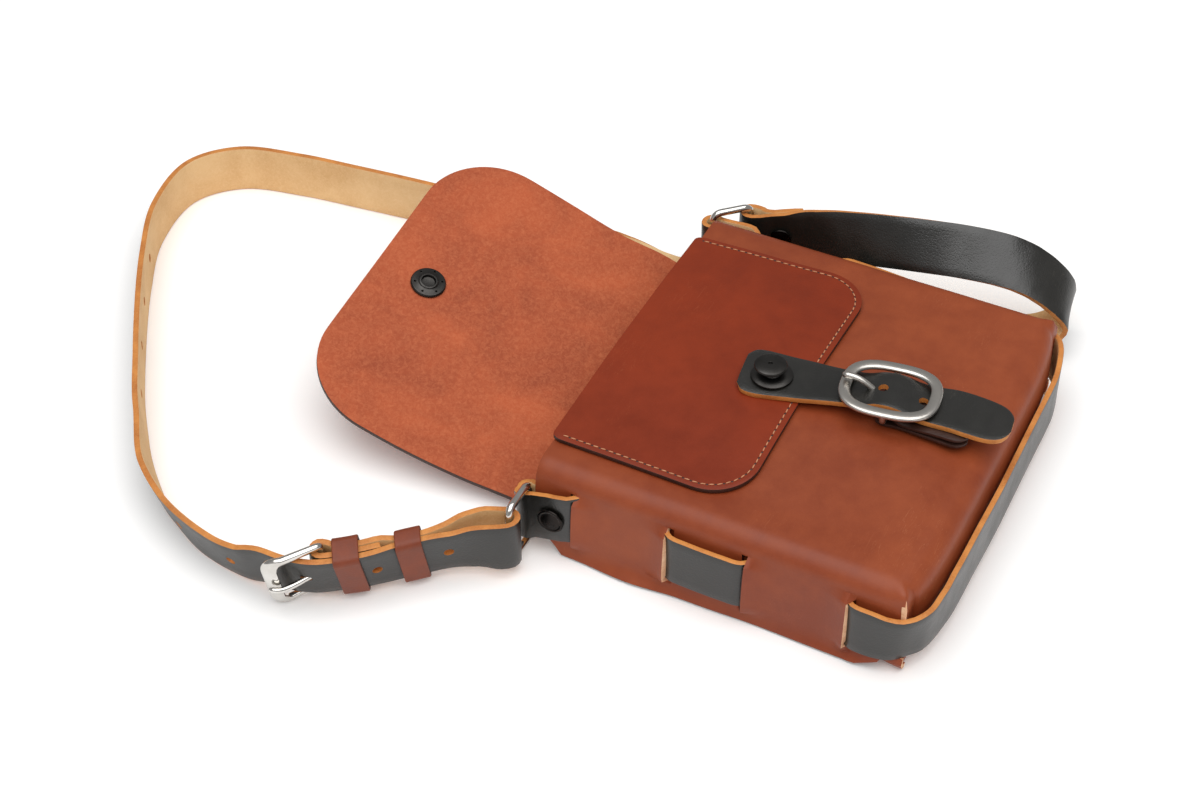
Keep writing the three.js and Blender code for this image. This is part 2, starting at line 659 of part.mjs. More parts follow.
// Back panel with upturned walls, and the open flap
const backHalf = (y, side) => wallHalf(y, side) - LEATHER - GAP;
function backSide(y, side) {
  const half = backHalf(y, side);
  const outer = [];
  const inner = [];
  for (let k = 0; k <= 4; k++) {
    const a = (Math.PI / 2) * (k / 4 - 1);
    outer.push([half - 5 + 5 * Math.cos(a), 5 + 5 * Math.sin(a)]);
    const r = 5 - BACK_LEATHER;
    inner.push([half - 5 + r * Math.cos(a), 5 + r * Math.sin(a)]);
  }
  outer.push([half - 0.5, 20], [half - 1.7, BACK_WALL_TOP]);
  inner.push([half - BACK_LEATHER - 0.5, 20], [half - BACK_LEATHER - 1.7, BACK_WALL_TOP]);
  return [...outer, ...inner.reverse()].map(([x, z]) => new THREE.Vector2(side * x, z));
}
const backOutline = (y) => [...backSide(y, 1), ...backSide(y, -1).reverse()];
const backEnd = LEATHER + GAP;
let back = solid(loft([backEnd + 5, 30, 60, 90, BACK_WALL_END], backOutline));
const endWall = [
  [backEnd, BACK_WALL_TOP - 1],
  [backEnd, 8.3],
  [0.8, 6.4],
  [-0.3, 4.7],
  [-1, 2.6],
  [-0.6, 0.9],
  [1.2, 0],
  [backEnd + 9, 0],
  [backEnd + 9, BACK_LEATHER],
  [2.2, BACK_LEATHER],
  [1.2, 2.8],
  [1.8, 4],
  [3, 5.2],
  [backEnd + BACK_LEATHER, 7.2],
  [backEnd + BACK_LEATHER, BACK_WALL_TOP - 1],
];
back = back.add(solid(plate(endWall, 7 - backHalf(backEnd, -1), backHalf(backEnd, 1) - 7, "x")));
const sideEnd = [[-0.4, 0.4], [9, 0.4], [9, 7.6], [-0.4, 7.6]];
back = back.add(solid(plate(sideEnd, -backHalf(0, -1), BACK_LEATHER - backHalf(0, -1), "x")));
back = back.add(solid(plate(sideEnd, backHalf(0, 1) - BACK_LEATHER, backHalf(0, 1), "x")));

const flapHeight = eased(FLAP_ROWS, "y", "height");
const flapTilt = eased(FLAP_ROWS, "y", "tilt");
const flapNear = eased(FLAP_ROWS, "y", "half");
const flapFar = eased(FLAP_ROWS, "y", "far");
const flapTop = (x, y) => Math.max(BACK_LEATHER, flapHeight(y) + flapTilt(y) * x);
function flapHalf(y, side) {
  const into = Math.max(0, y - (FLAP_END - FLAP_CORNER));
  return (side > 0 ? flapFar(y) : flapNear(y)) - FLAP_CORNER + Math.sqrt(Math.max(0, FLAP_CORNER ** 2 - into ** 2));
}
const FLAP_STATIONS = [110, 128, 140, 150, 158, 166, 176, 186, 198, 210, 222, 236, 250];
for (let k = 1; k <= 7; k++) {
  FLAP_STATIONS.push(FLAP_END - FLAP_CORNER + FLAP_CORNER * Math.sin((Math.PI / 2) * (k / 7)));
}
const flapPoint = (drop) => (i, j) => {
  const y = FLAP_STATIONS[i];
  const x = flapHalf(y, j - 4) * (j / 4 - 1);
  return new THREE.Vector3(x, y, flapTop(x, y) - drop);
};
back = back.add(solid(wall(FLAP_STATIONS.length - 1, 8, flapPoint(0), flapPoint(BACK_LEATHER))));
back = back.subtract(laceSlots);

// Snap socket through the flap
const SNAP = { x: 0.5, y: 267.5 };
const snapAt = new THREE.Vector3(SNAP.x, SNAP.y, flapTop(SNAP.x, SNAP.y));
const snapAxis = new THREE.Vector3(-0.13, -0.29, 1).normalize();
const snapProfile = [
  { r: 0, h: -4.1 },
  { r: 5.4, h: -4.1 },
  { r: 6, h: -3.6 },
  { r: 6, h: -2.7 },
  { r: 2.2, h: -2.7 },
  { r: 2.2, h: 0.35 },
  { r: 7.5, h: 0.35 },
  { r: 7.5, h: 1.3 },
  { r: 6.9, h: 1.9 },
  { r: 4.6, h: 2.1 },
  { r: 4.1, h: 2.7 },
  { r: 3.2, h: 2.7 },
  { r: 2.8, h: 1.2 },
  { r: 0, h: 1.2 },
];
back = back.subtract(
  solid(
    pin(
      snapAt.clone().addScaledVector(snapAxis, -8),
      snapAt.clone().addScaledVector(snapAxis, 6),
      2.6,
    ),
  ),
);

// Pocket panel on the upper half of the front
const POCKET = { low: 80, high: 167.2, near: -76, far: 78.5, corner: 22, thick: 2 };
const POCKET_STATIONS = [];
for (let k = 0; k <= 7; k++) {
  POCKET_STATIONS.push(POCKET.low + POCKET.corner * (1 - Math.cos((Math.PI / 2) * (k / 7))));
}
POCKET_STATIONS.push(118, 134, 150, 161, 165, POCKET.high);
const pocketPoint = (lift) => (i, j) => {
  const y = POCKET_STATIONS[i];
  const low = Math.max(0, POCKET.low + POCKET.corner - y);
  const cut = POCKET.corner - Math.sqrt(Math.max(0, POCKET.corner ** 2 - low ** 2));
  const high = Math.max(0, y - (POCKET.high - 5));
  const nip = 5 - Math.sqrt(Math.max(0, 25 - high ** 2));
  const narrow = ((y - POCKET.low) / 87) * 2.2;
  const near = POCKET.near + cut + nip * 0.6 + narrow;
  const far = POCKET.far - cut - nip * 0.6 - narrow;
  const x = near + ((far - near) * j) / 12;
  const onto = Math.min(y, BODY_LENGTH);
  const edge = Math.max(0, Math.abs(x) - (topHalf(onto, Math.sign(x)) - FOLD));
  const fall = FOLD - Math.sqrt(Math.max(0, FOLD ** 2 - edge ** 2));
  return new THREE.Vector3(x, y, panelTop(x, onto) - fall + 0.45 + lift);
};
let pocket = solid(wall(POCKET_STATIONS.length - 1, 12, pocketPoint(POCKET.thick), pocketPoint(0)));

// Closing tab frame of reference
const tabFrame = new THREE.Matrix4()
  .makeRotationZ(TAB_TURN)
  .setPosition(TAB_X, TAB_Y, 0);
const onTab = (u, v, z) => new THREE.Vector3(u, v, z).applyMatrix4(tabFrame);
const tabHalf = eased(TAB_ROWS, "v", "half");
const tabLow = eased(TAB_ROWS, "v", "z");
const TAB_STATIONS = TAB_ROWS.map((row) => row.v);
// The free end of the tab swings a little toward the near side.
function tabSway(v) {
  const t = Math.min(1, Math.max(0, (-24 - v) / 29));
  return -4.2 * t * t * (3 - 2 * t);
}
const tabPoint = (lift) => (i, j) => {
  const v = TAB_STATIONS[i];
  return onTab(TAB_ROWS[i].half * (j / 2 - 1) + tabSway(v), v, tabLow(v) + lift);
};
let tab = solid(wall(TAB_STATIONS.length - 1, 4, tabPoint(TAB_THICK), tabPoint(0)));
for (const { v } of TAB_HOLES) {
  tab = tab.subtract(solid(pin(onTab(0, v, 50), onTab(0, v, 62), HOLE)));
}

// Oval centre-bar buckle
const ovalFrames = [];
for (let k = 0; k < 28; k++) {
  const a = (Math.PI * 2 * k) / 28;
  const c = Math.cos(a);
  const s = Math.sin(a);
  const bend = (g) => Math.sign(g) * Math.abs(g) ** 0.72;
  const across = new THREE.Vector3(c / 15, s / 19.2, 0).normalize().transformDirection(tabFrame);
  const p = onTab(15 * bend(c), 19.2 * bend(s), TAB_FRAME_Z);
  ovalFrames.push({ p, across, up: new THREE.Vector3(0, 0, 1) });
}
const ovalSection = [
  new THREE.Vector2(-2.6, -0.9),
  new THREE.Vector2(-1.7, -1.6),
  new THREE.Vector2(1.7, -1.6),
  new THREE.Vector2(2.6, -0.9),
  new THREE.Vector2(2.3, 0.7),
  new THREE.Vector2(1.2, 1.6),
  new THREE.Vector2(-1.2, 1.6),
  new THREE.Vector2(-2.3, 0.7),
];
const barPath = [
  [-15, TAB_FRAME_Z],
  [-14.6, 55.2],
  [-13.4, 52.6],
  [-11.8, TAB_BAR_Z],
  [0, TAB_BAR_Z],
  [11.8, TAB_BAR_Z],
  [13.4, 52.6],
  [14.6, 55.2],
  [15, TAB_FRAME_Z],
].map(([u, z]) => onTab(u, 0, z));
const tabBuckle = solid(hoop(ovalFrames, ovalSection)).add(solid(rod(barPath, 1.6, 4)));

const tabProngPath = [
  [2.9, 53],
  [5.2, 55],
  [9, 58.2],
  [13.5, 61],
  [17.6, 62],
  [21.2, 61.9],
].map(([v, z]) => onTab(0, v, z));
const tabProng = rod(tabProngPath, 1.4, 4);
const tabProngSpace = solid(rod([onTab(0, 1.6, 52), ...tabProngPath], 1.85, 4));
tab = tab.subtract(tabProngSpace);

// Leather loop that holds the oval buckle: two layers on the panel and a fold round the bar
const CHAPE_HALF = 12.4;
const CHAPE_LENGTH = 38;
const CHAPE_LOW = 49.05;
const CHAPE_SWAY = 0.15;
const chapeSide = new THREE.Shape();
const chapeWrap = 3.4;
chapeSide.moveTo(-CHAPE_LENGTH, CHAPE_LOW - 0.9);
chapeSide.lineTo(-14, CHAPE_LOW);
chapeSide.lineTo(0, CHAPE_LOW - 0.1);
chapeSide.absarc(0, TAB_BAR_Z, chapeWrap - 0.2, -Math.PI / 2, Math.PI / 2, false);
chapeSide.quadraticCurveTo(-4, 54.6, -7, 52.1);
chapeSide.lineTo(-14, 51.7);
chapeSide.lineTo(-CHAPE_LENGTH, CHAPE_LOW + 1.8);
const chapeEye = new THREE.Path();
chapeEye.absarc(0, TAB_BAR_Z, 2.1, 0, Math.PI * 2, true);
chapeSide.holes.push(chapeEye);
const chapeBody = new THREE.ExtrudeGeometry(chapeSide, {
  depth: 2 * CHAPE_HALF,
  bevelEnabled: false,
  curveSegments: 8,
});
chapeBody.translate(0, 0, -CHAPE_HALF);
chapeBody.rotateX(Math.PI / 2);
chapeBody.rotateZ(Math.PI / 2);
const chapePlan = [[CHAPE_HALF, 10], [-CHAPE_HALF, 10]];
for (let k = 0; k <= 10; k++) {
  const a = Math.PI * (1 + k / 10);
  chapePlan.push([CHAPE_HALF * Math.cos(a), -CHAPE_LENGTH + 7 + 7 * Math.sin(a)]);
}
const chapeOutline = solid(plate(chapePlan, 40, 60, "z"));
const chapeMesh = geometryOf(solid(chapeBody).intersect(chapeOutline));
const chapeSpots = chapeMesh.attributes.position;
for (let i = 0; i < chapeSpots.count; i++) {
  chapeSpots.setX(i, chapeSpots.getX(i) + CHAPE_SWAY * Math.min(0, chapeSpots.getY(i) + 5));
}
const chape = solid(chapeMesh.applyMatrix4(tabFrame)).subtract(tabProngSpace);

// Stud through the tab, the pocket and the front panel
const studAt = onTab(STUD_U, STUD_V, tabLow(STUD_V) + TAB_THICK);
const studProfile = [
  { r: 0, h: -10.6 },
  { r: 5.4, h: -10.6 },
  { r: 6, h: -10 },
  { r: 6, h: -9.3 },
  { r: 2, h: -9.3 },
  { r: 2, h: 0.5 },
  { r: 9.2, h: 0.5 },
  { r: 9.2, h: 1 },
  { r: 8.2, h: 1.7 },
  { r: 3.8, h: 2 },
  { r: 4.4, h: 4.8 },
  { r: 6.8, h: 5.2 },
  { r: 7.2, h: 5.7 },
  { r: 6.8, h: 6.5 },
  { r: 0.9, h: 6.9 },
  { r: 0.9, h: 6.2 },
  { r: 0, h: 6.2 },
];
const studHole = solid(pin(studAt.clone().setZ(38), studAt.clone().setZ(62), 2.4));
tab = tab.subtract(studHole);
pocket = pocket.subtract(studHole);
front = front.subtract(studHole);

// Oval rings at the mouth corners, standing upright
function ovalRing(a, b, z) {
  const middle = new THREE.Vector3((a.x + b.x) / 2, (a.y + b.y) / 2, z);
  const along = new THREE.Vector3(b.x - a.x, b.y - a.y, 0);
  const half = along.length() / 2;
  along.normalize();
  const up = new THREE.Vector3(0, 0, 1);
  const frames = [];
  for (let k = 0; k < 20; k++) {
    const t = (Math.PI / 2) * (Math.floor(k / 5) + (k % 5) / 4);
    const turn = (Math.PI / 2) * (Math.floor(k / 5) + 0.5);
    const across = along.clone().multiplyScalar(Math.cos(t)).addScaledVector(up, Math.sin(t));
    const p = middle.clone().addScaledVector(across, RING_CORNER);
    p.addScaledVector(along, Math.sign(Math.cos(turn)) * (half - RING_CORNER));
    p.addScaledVector(up, Math.sign(Math.sin(turn)) * (RING_HALF_TALL - RING_CORNER));
    frames.push({ p, across, up: new THREE.Vector3().crossVectors(along, up) });
  }
  const section = [];
  for (let k = 0; k < 8; k++) {
    const a8 = (Math.PI * 2 * k) / 8;
    section.push(new THREE.Vector2(RING_WIRE * Math.cos(a8), RING_WIRE * Math.sin(a8)));
  }
  return hoop(frames, section);
}
const onRein = (d, n, z) => {
  const p = REIN.clone().addScaledVector(REIN_ALONG, d).addScaledVector(REIN_OUT, n);
  return new THREE.Vector3(p.x, p.y, z);
};
const reinTilt = eased(REIN_LEAN, "d", "tilt");
const reinShift = eased(REIN_LEAN, "d", "shift");
const reinLift = eased(REIN_LEAN, "d", "lift");
function leaned(p) {
  const q = new THREE.Vector2(p.x, p.y).sub(REIN);
  const d = q.dot(REIN_ALONG);
  const n = q.dot(REIN_OUT) - REIN_PIVOT.n;
  const h = p.z - REIN_PIVOT.z;
  const a = THREE.MathUtils.degToRad(reinTilt(d));
  const out = REIN_PIVOT.n + n * Math.cos(a) + h * Math.sin(a) + reinShift(d);
  return onRein(d, out, REIN_PIVOT.z + h * Math.cos(a) - n * Math.sin(a) + reinLift(d));
}
const nearWire = onRein(NEAR_WIRE.d, NEAR_WIRE.n, 0);
const nearLoop = new THREE.Vector3(-wallHalf(WIRE.y, -1) - WIRE.off, WIRE.y, 0);
const nearRing = ovalRing(nearLoop, nearWire, NEAR_RING_Z);
const farWire = new THREE.Vector3(FAR_WIRE.x, FAR_WIRE.y, 0);
const farLoop = new THREE.Vector3(wallHalf(WIRE.y, 1) + WIRE.off, WIRE.y, 0);
const farRing = ovalRing(farLoop, farWire, FAR_RING_Z);

// Shoulder strap: doubled end, loop round the flap, return run and fold at the far ring
const strapRows = [
  ...REIN_ROWS.map((r) => {
    const p = leaned(onRein(r.d, r.n, r.z));
    const edge = leaned(onRein(r.d, r.n, r.z + 1)).sub(p);
    return { x: p.x, y: p.y, z: p.z, ex: edge.x, ey: edge.y, ez: edge.z };
  }),
  ...LOOP_ROWS,
];
const shoulderFrames = strapFrames(strapRows, 16);
let shoulder = solid(strap(shoulderFrames, STRAP_WIDTH, STRAP_THICK));
for (const hole of STRAP_HOLES) {
  const at = hole.lean ? leaned(hole) : new THREE.Vector3(hole.x, hole.y, hole.z);
  const near = shoulderFrames.reduce((best, f) => (f.p.distanceTo(at) < best.p.distanceTo(at) ? f : best));
  const reach = near.face.clone().multiplyScalar(1.6);
  shoulder = shoulder.subtract(solid(pin(at.clone().sub(reach), at.clone().add(reach), HOLE)));
}

// Square buckle on the strap: heel bar in the fold, wide outer bar over the strap
const BUCKLE = { arm: 15, length: 20.6, outN: 9.8, skew: 0.12 };
const buckleFrames = [];
const bucklePlan = [];
const buckleCorner = 5.5;
for (const [side, end] of [[1, 0], [1, 1], [-1, 1], [-1, 0]]) {
  for (let k = 0; k <= 4; k++) {
    const quarter = { "1,0": -1, "1,1": 0, "-1,1": 1, "-1,0": 2 }[`${side},${end}`];
    const a = (Math.PI / 2) * (quarter + k / 4);
    const r = end ? buckleCorner : 2;
    const along = end ? BUCKLE.length - r : r;
    bucklePlan.push({ d: along + r * Math.sin(a), w: side * (BUCKLE.arm - r) + r * Math.cos(a), end });
  }
}
const buckleUp = new THREE.Vector3(0, 0, 1);
bucklePlan.forEach((q, i) => {
  const before = bucklePlan[(i + bucklePlan.length - 1) % bucklePlan.length];
  const after = bucklePlan[(i + 1) % bucklePlan.length];
  const at = (s) => {
    const rise = (s.d / BUCKLE.length) * BUCKLE.outN;
    const lean = BUCKLE.skew * s.w * (s.d / BUCKLE.length);
    const p = onRein(HEEL.d + s.d + lean, HEEL.n + rise, HEEL.z);
    return p.addScaledVector(buckleUp, s.w);
  };
  const run = at(after).sub(at(before)).normalize();
  const face = new THREE.Vector3(REIN_OUT.x, REIN_OUT.y, 0);
  face.addScaledVector(run, -face.dot(run)).normalize();
  buckleFrames.push({ p: at(q), across: run.clone().cross(face), up: face, wide: q.d / BUCKLE.length });
});
const bucklePoints = [];
const buckleFaces = [];
const buckleSides = 8;
for (const f of buckleFrames) {
  const wide = 1.65 + 1.5 * Math.max(0, f.wide - 0.75) * 4;
  for (let k = 0; k < buckleSides; k++) {
    const a = (Math.PI * 2 * k) / buckleSides;
    const p = f.p.clone().addScaledVector(f.across, wide * Math.cos(a));
    bucklePoints.push(leaned(p.addScaledVector(f.up, 1.6 * Math.sin(a))));
  }
}
buckleFrames.forEach((f, i) => {
  const a = i * buckleSides;
  const b = ((i + 1) % buckleFrames.length) * buckleSides;
  for (let j = 0; j < buckleSides; j++) {
    const k = (j + 1) % buckleSides;
    buckleFaces.push([a + j, b + j, b + k], [a + j, b + k, a + k]);
  }
});
const strapBuckle = closed(bucklePoints, buckleFaces);

const strapProngPath = [
  [76.4, 3.8],
  [77.4, 5.9],
  [80, 7],
  [85, 8.6],
  [91, 12],
  [97, 15.3],
  [102.4, 16.2],
].map(([d, n]) => leaned(onRein(d, n, HEEL.z)));
const strapProng = rod(strapProngPath, 1.2, 4);
shoulder = shoulder.subtract(solid(rod(strapProngPath, 1.7, 4)));

// Keepers: leather loops round the doubled strap
function keeper(d, low, high, slope, z) {
  const along = new THREE.Vector3(REIN_ALONG.x, REIN_ALONG.y, 0);
  const out = new THREE.Vector3(REIN_OUT.x, REIN_OUT.y, 0);
  const turn = Math.atan(slope);
  const run = along.clone().multiplyScalar(Math.cos(turn)).addScaledVector(out, Math.sin(turn));
  const face = out.clone().multiplyScalar(Math.cos(turn)).addScaledVector(along, -Math.sin(turn));
  const half = STRAP_WIDTH / 2 + 0.6;
  const rounded = (grow, r) => {
    const x0 = low - grow;
    const x1 = high + grow;
    const h = half + grow;
    const path = [];
    for (const [cx, cy, q] of [[x1 - r, h - r, 0], [x0 + r, h - r, 1], [x0 + r, r - h, 2], [x1 - r, r - h, 3]]) {
      for (let k = 0; k <= 3; k++) {
        const a = (Math.PI / 2) * (q + k / 3);
        path.push(new THREE.Vector2(cx + r * Math.cos(a), cy + r * Math.sin(a)));
      }
    }
    return path;
  };
  const shape = new THREE.Shape(rounded(1.7, 2.4));
  shape.holes.push(new THREE.Path(rounded(0, 0.7).reverse()));
  const geometry = new THREE.ExtrudeGeometry(shape, { depth: 11, bevelEnabled: false });
  geometry.translate(0, 0, -5.5);
  const basis = new THREE.Matrix4().makeBasis(face, new THREE.Vector3(0, 0, 1), run);
  if (basis.determinant() < 0) {
    basis.makeBasis(face, new THREE.Vector3(0, 0, -1), run);
  }
  basis.setPosition(onRein(d, 0, z));
  geometry.applyMatrix4(basis);
  const points = geometry.attributes.position;
  for (let i = 0; i < points.count; i++) {
    const at = leaned(new THREE.Vector3().fromBufferAttribute(points, i));
    points.setXYZ(i, at.x, at.y, at.z);
  }
  return geometry;
}

// Rivet that closes the strap's fold at the far ring
const strapRivetProfile = [
  { r: 0, h: -4.3 },
  { r: 3.6, h: -4.3 },
  { r: 4, h: -3.8 },
  { r: 4, h: -3.3 },
  { r: 1.8, h: -3.3 },
  { r: 1.8, h: 3.5 },
  { r: 5.2, h: 3.5 },
  { r: 5.2, h: 4.1 },
  { r: 3.8, h: 5 },
  { r: 1.8, h: 5.5 },
  { r: 0, h: 5.7 },
];
const strapRivetAt = new THREE.Vector3(STRAP_RIVET.x, STRAP_RIVET.y, STRAP_RIVET.z);
const strapRivetAxis = new THREE.Vector3(-1, -0.27, 0).normalize();
shoulder = shoulder.subtract(
  solid(
    pin(
      strapRivetAt.clone().addScaledVector(strapRivetAxis, -8),
      strapRivetAt.clone().addScaledVector(strapRivetAxis, 8),
      2.2,
    ),
  ),
);

let harness = solid(strap(laceFrames, STRAP_WIDTH, STRAP_THICK));
rivetHoles.forEach((hole) => {
  harness = harness.subtract(hole);
});

const group = new THREE.Group();
group.position.y = -REST_CENTRE;
function add(name, geometry, color, metalness, roughness) {
  const material = new THREE.MeshStandardMaterial({ color, metalness, roughness });
  const mesh = new THREE.Mesh(geometry, material);
  mesh.name = name;
  group.add(mesh);
}
add("front_shell", geometryOf(front), BROWN, 0, 0.55);
add("back_shell", geometryOf(back), BROWN, 0, 0.7);
add("front_pocket", geometryOf(pocket), RED_BROWN, 0, 0.55);
add("closing_tab", geometryOf(tab), BLACK, 0, 0.45);
add("tab_buckle", geometryOf(tabBuckle), NICKEL, 1, 0.35);
add("tab_buckle_prong", tabProng, NICKEL, 1, 0.35);
add("buckle_chape", geometryOf(chape), BROWN, 0, 0.55);
add("stud", turned(studProfile, studAt, new THREE.Vector3(0, 0, 1)), GUNMETAL, 1, 0.4);
add("flap_snap", turned(snapProfile, snapAt, snapAxis), GUNMETAL, 1, 0.4);
add("harness", geometryOf(harness), BLACK, 0, 0.45);
add("near_ring", nearRing, NICKEL, 1, 0.2);
add("far_ring", farRing, NICKEL, 1, 0.2);
add("near_rivet", turned(rivetProfile, rivets[0].at, rivets[0].axis), GUNMETAL, 1, 0.3);
add("far_rivet", turned(rivetProfile, rivets[1].at, rivets[1].axis), GUNMETAL, 1, 0.3);
add("strap_rivet", turned(strapRivetProfile, strapRivetAt, strapRivetAxis), GUNMETAL, 1, 0.3);
add("shoulder_strap", geometryOf(shoulder), BLACK, 0, 0.45);
add("strap_buckle", strapBuckle, NICKEL, 1, 0.2);
add("strap_buckle_prong", strapProng, NICKEL, 1, 0.2);
add("keeper_1", keeper(67.5, 0.7, 11.1, -0.05, 17.3), BROWN, 0, 0.55);
add("keeper_2", keeper(41.5, 5.6, 12.7, -0.05, 17.6), BROWN, 0, 0.55);

export default group;
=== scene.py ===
# Small leather cross-body bag lying on its back, flap open, strap laid round it
import math
import bpy
from mathutils import Matrix, Vector, noise


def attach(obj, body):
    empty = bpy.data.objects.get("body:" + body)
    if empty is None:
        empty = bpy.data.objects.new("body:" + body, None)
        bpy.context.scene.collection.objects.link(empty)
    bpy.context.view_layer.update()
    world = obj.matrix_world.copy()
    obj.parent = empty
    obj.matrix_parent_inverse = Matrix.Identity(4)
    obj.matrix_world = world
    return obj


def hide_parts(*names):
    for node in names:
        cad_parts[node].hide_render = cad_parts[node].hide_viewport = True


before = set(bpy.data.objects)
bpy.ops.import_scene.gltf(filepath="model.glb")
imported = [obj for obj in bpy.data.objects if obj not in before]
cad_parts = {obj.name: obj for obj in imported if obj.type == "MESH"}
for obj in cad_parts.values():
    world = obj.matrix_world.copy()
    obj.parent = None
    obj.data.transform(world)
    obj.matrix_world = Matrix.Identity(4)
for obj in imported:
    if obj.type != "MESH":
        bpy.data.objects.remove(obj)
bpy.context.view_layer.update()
print("frame loaded,", len(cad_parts), "nodes")

# Tables are in millimetres with y = 0 at the bag's bottom fold; the part's origin is this far up the bag
restCentre = 83.0
upward = Vector((0, 0, 1))


def place(point):
    return Vector((point[0], point[1] - restCentre, point[2])) / 1000


def unplace(co):
    # from the part's metres back to the tables' millimetres
    return co * 1000 + Vector((0, restCentre, 0))


def srgb(red, green, blue):
    linear = []
    for c in (red, green, blue):
        c /= 255
        linear.append(c / 12.92 if c <= 0.04045 else ((c + 0.055) / 1.055) ** 2.4)
    return (*linear, 1)


def smooth(t):
    t = min(1, max(0, t))
    return t * t * (3 - 2 * t)


def soften(x, y, z, size, amount):
    return noise.noise(Vector((x, y, z)) / size) * amount


def eased(rows, column):
    # one column of a table as a smooth function of its first column
    knots = [row[0] for row in rows]
    values = [row[column] for row in rows]
    last = len(rows) - 1
    slopes = []
    for i in range(last + 1):
        a, b = max(0, i - 1), min(last, i + 1)
        slopes.append((values[b] - values[a]) / (knots[b] - knots[a]))

    def value(t):
        t = min(max(t, knots[0]), knots[-1])
        i = max(k for k in range(last) if knots[k] <= t)
        h = knots[i + 1] - knots[i]
        s = (t - knots[i]) / h
        start = (1 + 2 * s) * (1 - s) ** 2 * values[i] + s * (1 - s) ** 2 * h * slopes[i]
        return start + s * s * (3 - 2 * s) * values[i + 1] + s * s * (s - 1) * h * slopes[i + 1]

    return value


def spaced(start, stop, step):
    # values from start to stop, both included, no further apart than step
    count = max(1, math.ceil(abs(stop - start) / step))
    return [start + (stop - start) * k / count for k in range(count + 1)]


# Modelling helpers

def deselectAll():
    if bpy.context.mode != "OBJECT":
        bpy.ops.object.mode_set(mode="OBJECT")
    bpy.ops.object.select_all(action="DESELECT")


def takeActive(name):
    piece = bpy.context.active_object
    piece.name = name
    piece.data.name = name
    return piece


def makeActive(piece):
    deselectAll()
    piece.select_set(True)
    bpy.context.view_layer.objects.active = piece


def applyModifier(piece, kind, **settings):
    makeActive(piece)
    modifier = piece.modifiers.new(kind.lower(), kind)
    for key, value in settings.items():
        setattr(modifier, key, value)
    bpy.ops.object.modifier_apply(modifier=modifier.name)


def cleanMesh(piece, distance=1e-6):
    makeActive(piece)
    bpy.ops.object.mode_set(mode="EDIT")
    bpy.ops.mesh.select_all(action="SELECT")
    bpy.ops.mesh.remove_doubles(threshold=distance)
    bpy.ops.mesh.normals_make_consistent(inside=False)
    bpy.ops.object.mode_set(mode="OBJECT")


def shadeByAngle(piece, degrees):
    makeActive(piece)
    bpy.ops.object.shade_smooth_by_angle(angle=math.radians(degrees))


def addGrid(name, rows, cols, point):
    # a grid whose vertices are moved onto a sheet; also gives each face's row and column
    deselectAll()
    bpy.ops.mesh.primitive_grid_add(x_subdivisions=cols, y_subdivisions=rows, size=1)
    piece = takeActive(name)
    spot = []
    for vert in piece.data.vertices:
        spot.append((round((vert.co.y + 0.5) * rows), round((vert.co.x + 0.5) * cols)))
    cells = []
    for face in piece.data.polygons:
        corners = [spot[k] for k in face.vertices]
        cells.append((min(c[0] for c in corners), min(c[1] for c in corners)))
    for vert, (i, j) in zip(piece.data.vertices, spot):
        vert.co = place(point(i, j))
    return piece, cells


def deleteFaces(piece, chosen):
    makeActive(piece)
    bpy.context.tool_settings.mesh_select_mode = (False, False, True)
    mesh = piece.data
    mesh.vertices.foreach_set("select", [False] * len(mesh.vertices))
    mesh.edges.foreach_set("select", [False] * len(mesh.edges))
    mesh.polygons.foreach_set("select", chosen)
    bpy.ops.object.mode_set(mode="EDIT")
    bpy.ops.mesh.delete(type="FACE")
    bpy.ops.object.mode_set(mode="OBJECT")


def setMaterials(piece, *materials):
    piece.data.materials.clear()
    for material in materials:
        piece.data.materials.append(material)


def paintFaces(piece, index):
    for face in piece.data.polygons:
        face.material_index = index


def joinPieces(pieces):
    deselectAll()
    for piece in pieces:
        piece.select_set(True)
    bpy.context.view_layer.objects.active = pieces[0]
    bpy.ops.object.join()
    return pieces[0]


def turnTo(axis):
    return upward.rotation_difference(axis).to_matrix()


def sweepLoop(name, centres, sections):
    # a torus moved onto a closed row of frames; each section is a list of (across, up) offsets
    deselectAll()
    sides = len(sections[0])
    bpy.ops.mesh.primitive_torus_add(major_segments=len(centres), minor_segments=sides)
    piece = takeActive(name)
    for k, vert in enumerate(piece.data.vertices):
        i, j = divmod(k, sides)
        at, across, up = centres[i]
        a, b = sections[i][j]
        vert.co = place(at + across * a + up * b)
    cleanMesh(piece)
    return piece


def turnOnAxis(name, profile, at, axis, around):
    # a sphere whose rings are moved onto a turned profile of (radius, height), listed from the foot up
    deselectAll()
    last = len(profile) - 1
    bpy.ops.mesh.primitive_uv_sphere_add(segments=around, ring_count=last, radius=1)
    piece = takeActive(name)
    turn = turnTo(axis)
    for vert in piece.data.vertices:
        ring = last - round(math.acos(max(-1, min(1, vert.co.z))) / math.pi * last)
        radius, height = profile[ring]
        a = math.atan2(vert.co.y, vert.co.x)
        vert.co = place(at + turn @ Vector((radius * math.cos(a), radius * math.sin(a), height)))
    cleanMesh(piece)
    return piece


